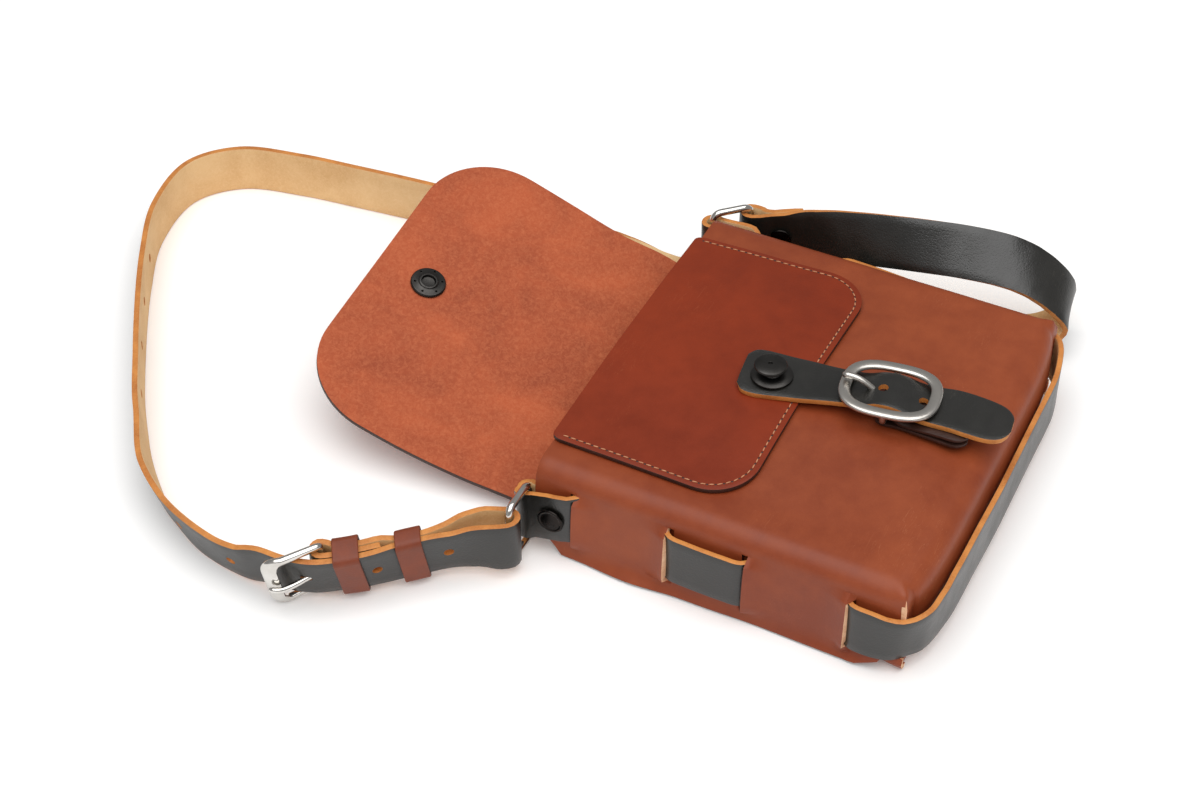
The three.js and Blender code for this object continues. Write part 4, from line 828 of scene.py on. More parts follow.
def buildFront():
    rows, columns = frontRows(), frontColumns()
    piece, cells = addGrid("front_leather", len(rows) - 1, len(columns) - 1,
                           lambda i, j: frontPoint(rows[i], columns[j]))
    setMaterials(piece, bagGrain, bagFlesh, dyedEdgeAndShade, bagSlitSide, bagFlesh, rawEdge)
    removed, slotted = [], set()
    for face, (i, j) in zip(piece.data.polygons, cells):
        zones = {rows[i][0], rows[i + 1][0]}, {columns[j][0], columns[j + 1][0]}
        side = columns[j][2] or columns[j + 1][2]
        centre = unplace(face.center)
        gone = pale = "wall" in zones[0] and "wall" in zones[1]
        if "wall" in zones[1] or ("fold" in zones[1] and abs(centre.x) > front["slotFrom"]):
            for low, top, over in front["slots"]:
                if low < centre.y < top and abs(centre.z - lacingHeight(side, centre.y)) < front["slotHalf"]:
                    gone, pale = True, over > 0
        removed.append(gone)
        if pale:
            slotted.add((i, j))
    # faces beside a slot whose lip is on the mouth side get the pale raw cut on their edge; slots whose lip is on the
    # bottom side keep the dark rim, painted shade for the shadow line along those lips
    for face, (i, j) in zip(piece.data.polygons, cells):
        if {(i + 1, j), (i - 1, j), (i, j + 1), (i, j - 1)} & slotted:
            face.material_index = 3
    deleteFaces(piece, removed)
    thicken(piece, body["leather"])
    roundEdges(piece, front["edge"], 60)
    combine(piece, holeCutter(rivetSpots(1, 6), lacing["rivetHole"], (bagGrain, bagFlesh, rawEdge), 2))
    finishPiece(piece, "front_shell")


buildFront()
print("front shell built")

# Back panel with upturned walls, running on into the open flap, flesh side up
back = {
    "bend": 5.0, "start": 5.4, "wallEnd": 117.0, "flapStart": 128.0, "cells": 36, "rowStep": 4.0,
    "gap": 0.4, "edge": 0.4, "snapHole": 2.5,
    "sideLevels": (33, 29, 25, 21, 17, 13, 9, 6.5),
    # upper face of the end wall, top edge first: y, z
    "endWall": [(5, 32), (5, 27), (5, 22), (5, 17), (5, 12), (5, 8.2), (4.4, 6.6), (3, 5.2), (1.8, 4.1), (1.2, 3),
                (1.4, 2.45), (2.4, 2.2)],
    # side walls run on past the end wall near the floor: the last rows' y, top, and outward flare
    "sideEnd": (-0.4, 2.4), "sideTop": 7.2, "sideFlare": 2.6, "sideLow": 9.5,
    "flapEnd": 292.5, "flapCorner": 36.0,
    # flap: y, height of its upper face, rise toward the far side, half widths on the near and the far side
    "flap": [(110, 2.2, 0, 79.5, 79.5), (118, 2.2, 0, 78.6, 78.6), (128, 2.2, 0, 77, 77), (146, 2.4, 0, 77, 79),
             (166, 7, 0.03, 77.3, 88), (186, 13, 0.07, 78, 87.8), (208, 20, 0.1, 80.5, 83.2),
             (235, 28.5, 0.12, 82.3, 82.3), (267, 38.3, 0.13, 82.5, 82.5), (292.5, 45.5, 0.13, 82.5, 82.5)],
    "slots": [(104.6, 111.2), (62.3, 68.9), (24.8, 30.8)], "slotHalf": 13.5,
}
flapHeight, flapTilt, flapNear, flapFar = (eased(back["flap"], k) for k in (1, 2, 3, 4))


def flapTop(x, y):
    return max(body["backLeather"], flapHeight(y) + flapTilt(y) * x)


def flapHalf(y, side):
    corner = back["flapCorner"]
    into = max(0, y - (back["flapEnd"] - corner))
    wide = flapFar(y) if side > 0 else flapNear(y)
    return wide - corner + math.sqrt(max(0, corner ** 2 - into ** 2))


def backHalf(y, side):
    return topHalf(y, side) - body["leather"] - back["gap"] + body["lean"]


def flapPoint(s, y):
    x = s * flapHalf(y, s)
    loose = smooth((y - 150) / 50)  # it waves only past the mouth
    wave = soften(x, y, 9, 46, 0.45) * loose
    return x, y, flapTop(x, y) + wave


def buildBack():
    bend, leather = back["bend"], body["backLeather"]
    inner = bend - leather
    sideColumns = [("wall", z) for z in back["sideLevels"]]
    sideColumns += [("bend", math.radians(a)) for a in (90, 67.5, 45, 22.5)]
    columns = [(*column, -1) for column in sideColumns]
    columns += [("flat", 2 * k / back["cells"] - 1, 0) for k in range(back["cells"] + 1)]
    columns += [(*column, 1) for column in reversed(sideColumns)]
    endRows = len(back["endWall"])
    rows = [("end", k) for k in range(endRows)]
    start = back["start"]
    marks = [start, *sorted(v for s in back["slots"] for v in s), back["wallEnd"], back["flapStart"]]
    for low, high in zip(marks, marks[1:]):
        rows += [("flat", y) for y in spaced(low, high, back["rowStep"])[:-1]]
    straight = back["flapEnd"] - back["flapCorner"]
    rows += [("flap", y) for y in spaced(back["flapStart"], straight, back["rowStep"])[:-1]]
    rows += [("flap", straight + back["flapCorner"] * math.sin(math.pi / 2 * k / 18)) for k in range(19)]

    def sidePoint(zone, c, side, y):
        half = backHalf(y, side)
        flare = back["sideFlare"] * smooth((16 - y) / 16)
        if zone == "bend":
            return side * (half - bend + (inner + flare * 0.8) * math.sin(c)), y, bend - inner * math.cos(c)
        taper = 0.5 * (c - bend) / 15 if c < 20 else 0.5 + 1.2 * (c - 20) / 13
        return side * (half - leather - taper + flare * 0.8 * smooth((12 - c) / 7)), y, c

    def point(i, j):
        rowZone, r = rows[i]
        zone, c, side = columns[j]
        if rowZone == "end" and side and r >= endRows - 2:
            level = min(c, back["sideTop"]) if zone == "wall" else c
            return sidePoint(zone, level, side, back["sideEnd"][r - endRows + 2])
        s = c if zone == "flat" else side
        if rowZone in ("flat", "flap"):
            if r > back["wallEnd"]:
                return flapPoint(s, r)
            if zone == "flat":
                return c * (backHalf(r, c) - bend), r, leather
            return sidePoint(zone, c, side, r)
        y, z = back["endWall"][r]
        wide = backHalf(start, s) - bend
        return s * (wide + (bend - 1) * smooth((7 - z) / 2) * smooth((5 - y) * 2)), y, z

    piece, cells = addGrid("back_leather", len(rows) - 1, len(columns) - 1, point)
    setMaterials(piece, flapSuede, bagGrain, dyedEdgeAndShade, flapSuede, bagGrain, rawEdge)
    ends = (len(sideColumns), len(sideColumns) + back["cells"] - 1)
    removed = []
    for face, (i, j) in zip(piece.data.polygons, cells):
        sideways = columns[j][2] or columns[j + 1][2]
        centre = unplace(face.center)
        gone = bool(sideways) and (rows[i][0] in ("end", "flap") or rows[i + 1][1] > back["wallEnd"])
        lowSide = all(side and (zone == "bend" or c < back["sideLow"]) for zone, c, side in columns[j:j + 2])
        if lowSide and endRows - 2 <= i < endRows:
            gone = False
            face.material_index = 3
        if rows[i][0] == "end" and rows[i + 1][0] == "end" and j in ends:
            face.material_index = 3
        if sideways and columns[j][0] == "wall" and columns[j + 1][0] == "wall":
            for low, high in back["slots"]:
                if low < centre.y < high and abs(centre.z - lacingHeight(sideways, centre.y)) < back["slotHalf"]:
                    gone = True
        removed.append(gone)
    deleteFaces(piece, removed)
    thicken(piece, leather)
    roundEdges(piece, back["edge"], 60)
    combine(piece, holeCutter([(*snapPlace(), 7)], back["snapHole"], (flapSuede, bagGrain, dyedEdgeAndShade), 2))
    finishPiece(piece, "back_shell")


# Snap socket in the flap
snap = {
    "x": 0.5, "y": 267.5, "holes": 6, "holeRing": 6.3, "hole": 0.55,
    "profile": [(0, -4.1), (5.4, -4.1), (5.9, -3.8), (6, -3.3), (5.8, -2.75), (2.2, -2.7), (2.2, 0.35), (8.0, 0.35),
                (8.2, 0.7), (8.15, 1.2), (7.7, 1.75), (6.8, 1.95), (4.9, 2.05), (4.5, 2.3), (4.25, 2.7), (3.9, 2.85),
                (3.4, 2.8), (3.1, 2.4), (2.9, 1.4), (1.2, 1.2), (0, 1.25)],
}


def snapPlace():
    x, y = snap["x"], snap["y"]
    rise = Vector((flapTop(x + 2, y) - flapTop(x - 2, y), flapTop(x, y + 2) - flapTop(x, y - 2), 0)) / 4
    axis = Vector((-rise.x, -rise.y, 1)).normalized()
    return Vector(flapPoint(x / flapHalf(y, x), y)), axis


def buildSnap():
    at, axis = snapPlace()
    piece = turnOnAxis("snap_socket", snap["profile"], at, axis, 64)
    u = axis.orthogonal().normalized()
    w = axis.cross(u)
    spots = []
    for k in range(snap["holes"]):
        a = 2 * math.pi * k / snap["holes"] + 0.3
        rim = at + (u * math.cos(a) + w * math.sin(a)) * snap["holeRing"]
        spots.append((rim + axis * 1.9, axis, 0.8))
    setMaterials(piece, gunmetal)
    combine(piece, holeCutter(spots, snap["hole"], (gunmetal,), 0))
    finishPiece(piece, "flap_snap", 30)


buildBack()
buildSnap()
print("back panel, flap and snap built")

# Pocket panel sewn to the upper half of the front
pocket = {
    "low": 80.0, "high": 167.2, "near": -76.0, "far": 78.5, "corner": 22.0, "thick": 2.0, "lift": 0.45,
    "mouthCorner": 5.0, "edge": 0.5, "studHole": 2.3,
    # hole is the radius of the dark dots painted for the stitch holes' shade
    "cells": 34, "inset": 2.7, "stitch": (2.4, 0.66, 0.5), "pitch": 3.5, "hole": 0.52,
    # each side edge leans in by this much over this run; the lean starts at the low edge
    "narrow": (2.2, 87), "seamEnd": 163.0, "cornerSteps": 24,
}


def narrowing(run):
    amount, over = pocket["narrow"]
    return run / over * amount


def pocketEdges(y):
    low = max(0, pocket["low"] + pocket["corner"] - y)
    cut = pocket["corner"] - math.sqrt(max(0, pocket["corner"] ** 2 - low ** 2))
    mouth = pocket["mouthCorner"]
    high = max(0, y - (pocket["high"] - mouth))
    nip = (mouth - math.sqrt(max(0, mouth ** 2 - high ** 2))) * 0.6
    narrow = narrowing(y - pocket["low"])
    return pocket["near"] + cut + nip + narrow, pocket["far"] - cut - nip - narrow


def pocketTop(x, y):
    onto = min(y, body["length"])
    edge = max(0, abs(x) - (topHalf(onto, x) - body["fold"]))
    fall = body["fold"] - math.sqrt(max(0, body["fold"] ** 2 - edge ** 2))
    return panelTop(x, onto) - fall + pocket["lift"] + pocket["thick"]


def pocketFace(x, y):
    # upper face with the leather's slight waves
    return pocketTop(x, y) + soften(x, y, 30, 30, 0.3)


def buildPocket():
    corner = pocket["corner"]
    rows = [pocket["low"] + corner * (1 - math.cos(math.pi / 2 * k / 14)) for k in range(14)]
    rows += spaced(pocket["low"] + corner, 162, 3.6) + [163.4, 164.6, 165.7, 166.6, pocket["high"]]

    def point(i, j):
        near, far = pocketEdges(rows[i])
        x = near + (far - near) * j / pocket["cells"]
        return x, rows[i], pocketFace(x, rows[i])

    piece, cells = addGrid("pocket_leather", len(rows) - 1, pocket["cells"], point)
    looks = (pocketGrain, bagFlesh, dyedEdgeAndShade)
    setMaterials(piece, *looks)
    thicken(piece, pocket["thick"])
    roundEdges(piece, pocket["edge"], 55)
    at = studPlace()
    combine(piece, holeCutter([(Vector((at.x, at.y, 49)), upward, 8)], pocket["studHole"], looks, 2))
    finishPiece(piece, "front_pocket")


def stitchLine():
    # points of the seam, inset from the pocket's edge on three sides
    inset, corner, low = pocket["inset"], pocket["corner"], pocket["low"]
    end, steps = pocket["seamEnd"], pocket["cornerSteps"]
    shift = narrowing(corner)
    left, right = pocket["near"] + shift + corner, pocket["far"] - shift - corner
    small = corner - inset
    turns = [math.pi / 2 * k / steps for k in range(1, steps)]
    line = [(pocketEdges(y)[0] + inset, y) for y in spaced(end, low + corner, 1)]
    line += [(left - small * math.cos(a), low + corner - small * math.sin(a)) for a in turns]
    line += [(x, low + inset) for x in spaced(left, right, 1)]
    turns = [math.pi / 2 * (1 - k / steps) for k in range(1, steps)]
    line += [(right + small * math.cos(a), low + corner - small * math.sin(a)) for a in turns]
    line += [(pocketEdges(y)[1] - inset, y) for y in spaced(low + corner, end, 1)]
    return line


def buildStitches():
    line = [Vector((x, y, pocketFace(x, y))) for x, y in stitchLine()]
    lengths = [0]
    for a, b in zip(line, line[1:]):
        lengths.append(lengths[-1] + (b - a).length)

    def along(s):
        k = max(i for i in range(len(lengths) - 1) if lengths[i] <= s)
        return line[k].lerp(line[k + 1], (s - lengths[k]) / max(1e-6, lengths[k + 1] - lengths[k]))

    long, wide, tall = pocket["stitch"]
    count = int(lengths[-1] / pocket["pitch"])
    stitches = []
    for k in range(count):
        s = (k + 0.5) * lengths[-1] / count
        a, b = along(max(0, s - long / 2)), along(min(lengths[-1] - 0.01, s + long / 2))
        run = (b - a).normalized()
        deselectAll()
        bpy.ops.mesh.primitive_uv_sphere_add(segments=8, ring_count=6, radius=0.5)
        stitch = takeActive("stitch")
        side = upward.cross(run).normalized()
        slant = (run + side * 0.09).normalized()
        turn = Matrix((slant, side, slant.cross(side))).transposed()
        middle = (a + b) / 2 + Vector((0, 0, 0.12))
        for vert in stitch.data.vertices:
            v = Vector((vert.co.z * long, vert.co.x * wide, vert.co.y * tall))
            vert.co = place(middle + turn @ v)
        setMaterials(stitch, threadFibre, dyedEdgeAndShade)
        stitches.append(stitch)
        # a flat dark dot in each gap between stitches, painted shade of the stitch hole; the hole itself is not cut
        deselectAll()
        bpy.ops.mesh.primitive_uv_sphere_add(segments=8, ring_count=4, radius=pocket["hole"] / 1000)
        hole = takeActive("hole")
        ahead = along(min(lengths[-1] - 0.01, s + lengths[-1] / count / 2))
        hole.data.transform(Matrix.Translation(place(ahead)) @ Matrix.Diagonal((1, 1, 0.3, 1)))
        setMaterials(hole, threadFibre, dyedEdgeAndShade)
        paintFaces(hole, 1)
        stitches.append(hole)
    joinPieces(stitches)
    piece = takeActive("pocket_stitches")
    cleanMesh(piece, 1e-7)
    shadeByAngle(piece, 80)
    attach(piece, "root")


# Closing tab with its oval buckle, prong, leather chape and stud
tab = {
    "x": 3.5, "y": 45.5, "turn": 0.14, "thick": 2.5, "edge": 0.45, "hole": 2.2,
    "studU": -2.0, "studV": 51.0, "sway": 4.2,
    # oval frame: half sizes, half sizes of its section, height; its bar: across the tab, height
    "oval": (15.0, 19.2), "band": (2.6, 1.3), "frameZ": 58.3, "barRadius": 1.6, "prongRadius": 1.45,
    "bar": [(-14.6, 57.6), (-14.4, 55.2), (-13.4, 52.9), (-11.6, 51.95), (0, 51.95), (11.6, 51.95), (13.4, 52.9),
            (14.4, 55.2), (14.6, 57.6)],
    # from the centre bar toward the stud: distance, half width, height of the lower face
    "rows": [(-53, 3.6, 54.6), (-52, 6.4, 54.5), (-49, 9.8, 54.2), (-44, 11.7, 53.9), (-36, 12.4, 53.6),
             (-28, 12.3, 53.4), (-19, 11.6, 53.3), (-12, 11.1, 54.1), (-5, 10.8, 56.2), (0, 10.7, 56.8),
             (5, 10.6, 56.2), (11, 10.5, 54.1), (19, 10.6, 53.2), (28, 11.4, 52.6), (36, 12.4, 52.2),
             (45, 13.2, 51.9), (52, 14, 51.8), (58, 14.2, 51.8), (62, 13, 51.9), (64.5, 9.5, 52)],
    "holes": [3.2, -14.5],
    "prong": [(2.9, 53), (5.2, 55), (9, 58.2), (13.5, 61), (17.6, 62), (21.2, 61.9)],
}
tabHalf = eased(tab["rows"], 1)
tabLow = eased(tab["rows"], 2)


def onTab(u, v, z):
    c, s = math.cos(tab["turn"]), math.sin(tab["turn"])
    return Vector((tab["x"] + u * c - v * s, tab["y"] + u * s + v * c, z))


def alongTab(at):
    return (at - onTab(0, 0, 0)).dot(onTab(0, 1, 0) - onTab(0, 0, 0))


def studPlace():
    v = tab["studV"]
    return onTab(tab["studU"], v, tabLow(v) + tab["thick"])


def buildTab():
    rows = [-53, -52.6, -52.2, -51.6, -50.8, -49.8, -48.6] + spaced(-47, 57, 2) + [58.5, 60, 61.3, 62.4, 63.4, 64, 64.5]
    across = 8

    def point(i, j):
        v = rows[i]
        s = j / across * 2 - 1
        curl = 0.5 * s * s * smooth((v - 30) / 25) + 0.25 * s * s
        sway = tab["sway"] * smooth((-24 - v) / 29)
        return onTab(tabHalf(v) * s - sway, v, tabLow(v) + tab["thick"] - curl + soften(s * 9, v, 5, 16, 0.2))

    piece, cells = addGrid("closing_tab_leather", len(rows) - 1, across, point)
    setMaterials(piece, *strapSet)
    thicken(piece, tab["thick"])
    roundEdges(piece, tab["edge"])
    spots = [(onTab(0, v, tabLow(v) + 1), upward, 5) for v in tab["holes"]]
    spots.append((studPlace(), upward, 6))
    combine(piece, holeCutter(spots, tab["hole"], strapSet, 2))
    finishPiece(piece, "closing_tab")


def buildTabBuckle():
    a, b = tab["oval"]
    centres = []
    for k in range(72):
        t = 2 * math.pi * k / 72
        c, s = math.cos(t), math.sin(t)
        bend = [math.copysign(abs(g) ** 0.7, g) for g in (c, s)]
        at = onTab(a * bend[0], b * bend[1], tab["frameZ"])
        out = onTab(c / a, s / b, 0) - onTab(0, 0, 0)
        centres.append((at, out.normalized(), upward))
    frameRing = sweepLoop("tab_buckle_frame", centres, [barSection(*tab["band"], 0.75)] * len(centres))
    bar = tubePiece("tab_buckle_bar", [onTab(u, 0, z) for u, z in tab["bar"]], tab["barRadius"], 16)
    combine(frameRing, bar, "UNION")
    setMaterials(frameRing, satinNickel)
    finishPiece(frameRing, "tab_buckle", 45)
    prong = tubePiece("tab_buckle_tongue", [onTab(0, v, z) for v, z in tab["prong"]], tab["prongRadius"], 14)
    setMaterials(prong, satinNickel)
    finishPiece(prong, "tab_buckle_prong", 60)


# Leather strip folded round the oval buckle's bar
chape = {
    "half": 12.4, "thick": 1.35, "end": -38.0, "endRound": 9, "sway": 0.15, "edge": 0.25, "prongRoom": 1.85,
    "path": [(-38, 51.4), (-30, 52.2), (-20, 52), (-12, 51.5), (-7.5, 51.7), (-4.6, 53.2), (-1.6, 54.5),
             (1.2, 54.3), (2.8, 52.6), (2.6, 50.8), (0.8, 49.75), (-3, 49.6), (-12, 49.6), (-24, 49.2), (-36, 48.75)],
}


def buildChape():
    across = onTab(1, 0, 0) - onTab(0, 0, 0)
    rows = [(*onTab(0, v, z), *across) for v, z in chape["path"]]
    frames = []
    for at, edge, face in strapFrames(rows, 1.2):
        frames.append((at + across * chape["sway"] * min(0, alongTab(at) + 5), edge, face))

    def shape(s):
        # rounded end
        at = frames[round(s * (len(frames) - 1))][0]
        into = max(0, chape["end"] + chape["endRound"] - alongTab(at)) / chape["endRound"]
        return math.sqrt(max(0.03, 1 - into * into))

    # both faces carry the chape colour with the tab's painted shade
    looks = (chapeGrainShaded, chapeGrainShaded, dyedEdgeAndShade)
    piece = strapPiece("chape_leather", frames, 2 * chape["half"], chape["thick"], looks, 8, shape)
    roundEdges(piece, chape["edge"])
    cutter = tubePiece("prong_room", [onTab(0, v, z) for v, z in [(1.4, 52), *tab["prong"]]], chape["prongRoom"], 12)
    setMaterials(cutter, *looks)
    combine(piece, cutter)
    finishPiece(piece, "buckle_chape")


# Dark button through tab, pocket and front, leaning a little above its foot plate
stud = {
    "profile": [(0, -10.6), (5.4, -10.6), (5.9, -10.3), (6, -9.8), (5.7, -9.3), (2, -9.25), (2, 0.5), (9, 0.5),
                (9.2, 0.75), (9.1, 1.1), (8.3, 1.6), (6, 1.9), (3.9, 2.05), (3.6, 2.5), (4.0, 4.4), (4.6, 4.8),
                (6.6, 5.1), (7.1, 5.4), (7.2, 5.8), (6.9, 6.4), (6.1, 6.75), (3.3, 7.0), (1.0, 7.0), (0.85, 6.8),
                (0.8, 6.2), (0, 6.15)],
    "lean": 0.2,
}


def buildStud():
    at = studPlace()
    piece = turnOnAxis("stud_button", stud["profile"], at, upward, 56)
    for vert in piece.data.vertices:
        vert.co.y += stud["lean"] * max(0, vert.co.z - at.z / 1000 - 0.002)
    setMaterials(piece, gunmetal)
    finishPiece(piece, "stud", 30)


buildPocket()
buildStitches()
buildTab()
buildTabBuckle()
buildChape()
buildStud()
print("pocket, closing tab and stud built")

# Rings and rivets at the mouth corners
fittings = {
    "wire": 1.75, "halfTall": 15.3, "corner": 4.0, "nearZ": 18.8, "farZ": 27.8, "farWire": (112.4, 155.4),
    "rivetOut": 2.0, "strapRivet": (113.5, 140.0, 31.3), "strapRivetAxis": (-1, -0.27, 0),
    "rivet": [(0, -9.8), (3.6, -9.8), (3.95, -9.5), (3.95, -8.9), (3.7, -8.5), (1.8, -8.45), (1.8, 1.7), (5.7, 1.7),
              (6, 1.95), (6.05, 2.4), (5.8, 2.75), (5.3, 2.9), (4.9, 2.82), (4.65, 2.66), (4.2, 2.64), (3.4, 2.74),
              (2, 2.84), (1, 2.88), (0, 2.9)],
    "shortRivet": [(0, -4.3), (3.6, -4.3), (3.95, -4), (3.95, -3.5), (3.7, -3.3), (1.8, -3.25), (1.8, 3.45), (5, 3.45),
                   (5.2, 3.65), (5.2, 4), (4.9, 4.3), (4.4, 4.4), (4, 4.6), (3.2, 5), (2, 5.4), (1, 5.6), (0, 5.65)],
}


def buildRing(name, node, a, b, z):
    middle = Vector(((a[0] + b[0]) / 2, (a[1] + b[1]) / 2, z))
    along = Vector((b[0] - a[0], b[1] - a[1], 0))
    half = along.length / 2
    along.normalize()
    corner, tall = fittings["corner"], fittings["halfTall"]
    centres = []
    for quarter in range(4):
        mid = math.pi / 2 * (quarter + 0.5)
        for k in range(9):
            t = math.pi / 2 * (quarter + k / 8)
            across = along * math.cos(t) + upward * math.sin(t)
            at = middle + across * corner + along * math.copysign(half - corner, math.cos(mid))
            at += upward * math.copysign(tall - corner, math.sin(mid))
            centres.append((at, across, along.cross(upward)))
    piece = sweepLoop(name, centres, [barSection(fittings["wire"], fittings["wire"])] * len(centres))
    setMaterials(piece, brightNickel)
    finishPiece(piece, node, 60)


def buildRivet(name, node, profile, at, axis):
    piece = turnOnAxis(name, profile, Vector(at), Vector(axis).normalized(), 48)
    setMaterials(piece, blackMetal)
    finishPiece(piece, node, 32)


# Doubled end of the shoulder strap, laid out from the ring bend: along the strap, out of its face, height
rein = {
    "origin": (-103.6, 171.7), "along": (-0.58, 0.8146), "out": (-0.8146, -0.58), "nearWire": (1.25, 6.34),
    "rows": [(56, 7.3, 17.3), (62, 6.65, 17.3), (72, 6.25, 17.3), (78, 6.1, 17.3), (81.2, 5.7, 17.3), (83, 3.6, 17.3),
             (82.6, 1, 17.3), (80.2, -0.7, 17.3), (76.5, 0.2, 17.3), (73, 2.3, 17.3), (67, 3.3, 17.3), (61, 3.6, 17.3),
             (55, 4.3, 17.4), (48, 7.1, 17.5), (42, 7.9, 17.6), (35, 7.9, 17.8), (28, 6.9, 18), (19, 4.2, 18.2),
             (10.4, 2, 18.3), (4.4, 1.2, 18.3), (0.4, 1.7, 18.3), (-2.2, 4.3, 18.3), (-2.4, 7.6, 18.3),
             (0.2, 10.6, 18.3), (5.4, 12, 18.3), (15, 12.6, 18.2), (26, 12.2, 18), (36, 11.2, 17.8), (48, 10.4, 17.4),
             (62, 9.6, 17.3), (74, 9.1, 17.3), (84, 8.6, 17.2), (94, 6.4, 16.6), (104, 3.4, 15)],
    # along, turn outward in degrees, sideways shift, lift
    "lean": [(3, 0, 0, 0), (9, 2, -2.2, 0.2), (16, 7, -4.2, 0.4), (26, 12, -4, 0.5), (36, 11, -2, 0.5),
             (48, 11, 0.5, 0.5), (62, 14, 4, 0.6), (74, 16, 5.5, 0.7), (84, 16, 5.5, 0.7), (94, 16, 4, 0.7),
             (104, 15, 0, 0.2)],
    "pivot": (7, 17.3),
}
reinTilt, reinShift, reinLift = (eased(rein["lean"], k) for k in (1, 2, 3))


def onRein(d, n, z):
    x = rein["origin"][0] + rein["along"][0] * d + rein["out"][0] * n
    y = rein["origin"][1] + rein["along"][1] * d + rein["out"][1] * n
    return Vector((x, y, z))


def leaned(p):
    # the doubled end and its fittings lean outward and bow sideways
    x, y = p[0] - rein["origin"][0], p[1] - rein["origin"][1]
    d = x * rein["along"][0] + y * rein["along"][1]
    d = min(rein["lean"][-1][0], max(rein["lean"][0][0], d))
    a = math.radians(reinTilt(d))
    n = x * rein["out"][0] + y * rein["out"][1] - rein["pivot"][0]
    h = p[2] - rein["pivot"][1]
    move = n * (math.cos(a) - 1) + h * math.sin(a) + reinShift(d)
    lift = h * (math.cos(a) - 1) - n * math.sin(a) + reinLift(d)
    return Vector((p[0] + rein["out"][0] * move, p[1] + rein["out"][1] * move, p[2] + lift))


def leanPiece(piece):
    for vert in piece.data.vertices:
        vert.co = place(leaned(unplace(vert.co)))


# Shoulder strap after the buckle, round the flap, under itself and up to the far ring: centre of each row, and the
# direction of its edge where that isn't upright
shoulder = {
    "width": 24.5, "thick": 2.5, "step": 2.6, "edge": 0.45, "hole": 2.2, "leanHoles": 2, "prongRoom": 1.7,
    "rows": [
        (-166.3, 264, 13.6, -0.28, 0, 0.96), (-165.2, 275, 12.6, -0.3, 0, 0.95),
        (-161, 292, 12.4, -0.26, 0.09, 0.96), (-154, 307.5, 12.4, -0.26, 0.14, 0.95),
        (-140.5, 327.5, 12.4, -0.2, 0.16, 0.97), (-114, 350.5, 12.5, -0.06, 0.05, 1), (-84, 372, 12.5),
        (-22, 410, 12.5), (13, 426, 12.5), (47, 428.6, 12.5), (67, 412, 12.5), (75, 382, 12.5), (78.4, 355, 12.5),
        (83.3, 305, 12.5), (85, 250, 12.5), (85.4, 228, 12.5, 0.12, 0, 0.99), (85, 213, 12, 0.4, 0, 0.92),
        (84.3, 201.5, 10.7, 0.62, 0.03, 0.78),
        (83.6, 191, 9.3, 0.75, 0.06, 0.66), (85.9, 180.5, 7.8, 0.84, 0.16, 0.52),
        (92.5, 172.5, 6.3, 0.72, 0.56, 0.38), (101.5, 166.5, 5.5, 0.56, 0.78, 0.29),
        (109.3, 160.2, 5.1, 0.66, 0.7, 0.26), (114.4, 149.5, 5, 0.93, 0.28, 0.25),
        (116.4, 132, 5, 0.97, 0.05, 0.24), (116.4, 112, 5, 0.97, 0.05, 0.24), (117.4, 78, 5, 0.97, -0.04, 0.24),
        (116.6, 55, 4.9, 0.97, 0.06, 0.23), (120.4, 33.5, 4.4, 0.96, 0.21, 0.16),
        (124.2, 22.4, 4.9, 0.93, 0.35, 0.04), (128.4, 13, 8, 0.92, 0.38, -0.04),
        (131.3, 6.9, 12.8, 0.93, 0.36, -0.06), (132.5, 4.3, 17.2, 0.96, 0.26, -0.03),
        (132.5, 4.3, 22, 0.99, 0.09, 0.07), (131.8, 6.5, 26.6, 0.98, 0.01, 0.18),
        (130.5, 11.4, 32.1, 0.96, -0.01, 0.28), (128.7, 18.9, 37.8, 0.92, -0.02, 0.38),
        (126.9, 26, 41.5, 0.86, 0.02, 0.51), (124.5, 35.7, 44.3, 0.77, 0.08, 0.64),
        (120.4, 52.9, 46, 0.66, 0.11, 0.74), (116.7, 70.26, 45.98, 0.54, 0.09, 0.84),
        (114.94, 88.25, 43.8, 0.43, 0.05, 0.9), (114.36, 108.23, 40, 0.3, 0.02, 0.95),
        (113.94, 122.35, 36.8, 0.14, 0, 0.99), (113.7, 133, 33.2), (112.4, 138.4, 31.8), (111.1, 144.2, 30.2),
        (109.4, 149.7, 29), (108.3, 154.7, 28.4), (109.8, 158.6, 28.2), (113.2, 159.6, 28.2), (116.2, 157.4, 28.2),
        (116.6, 152.2, 28.4), (115, 147.2, 29), (114.4, 144, 30.2), (115.5, 138.4, 31.8), (116.8, 133, 33.2),
        (117.7, 129.5, 33.8),
    ],
    "holes": [(-129.1, 186.7, 18.4), (-145, 212.8, 16.8), (-165.6, 270, 13), (-157.2, 301, 12.4), (-97, 363, 12.5),
              (-69, 381.4, 12.5), (-42, 398, 12.5), (-14, 414, 12.5)],
}

# Square buckle on the strap, its prong, and the two keepers
buckle = {
    "heel": (79.7, 2.7, 17.3), "arm": 15.0, "length": 20.6, "rise": 9.8, "skew": 0.12, "corner": 5.5,
    "heelCorner": 2.0, "barWide": 1.65, "barTall": 1.45, "footWider": 1.6, "prongRadius": 1.3,
    "prong": [(76.4, 3.8), (77.4, 5.9), (80, 7), (85, 8.6), (91, 12), (97, 15.3), (102.4, 16.2)],
    "keepers": [("keeper_near_buckle", "keeper_1", 67.5, 0.7, 11.1, 17.3),
                ("keeper_near_ring", "keeper_2", 41.5, 5.6, 12.7, 17.6)],
    "keeperThick": 1.7, "keeperWide": 11.0, "keeperSlope": -0.05, "keeperTilt": 0.14, "keeperRoom": 0.6,
    "keeperCorner": 2.3, "keeperEdge": 0.35,
}


def strapProng():
    return [leaned(onRein(d, n, buckle["heel"][2])) for d, n in buckle["prong"]]


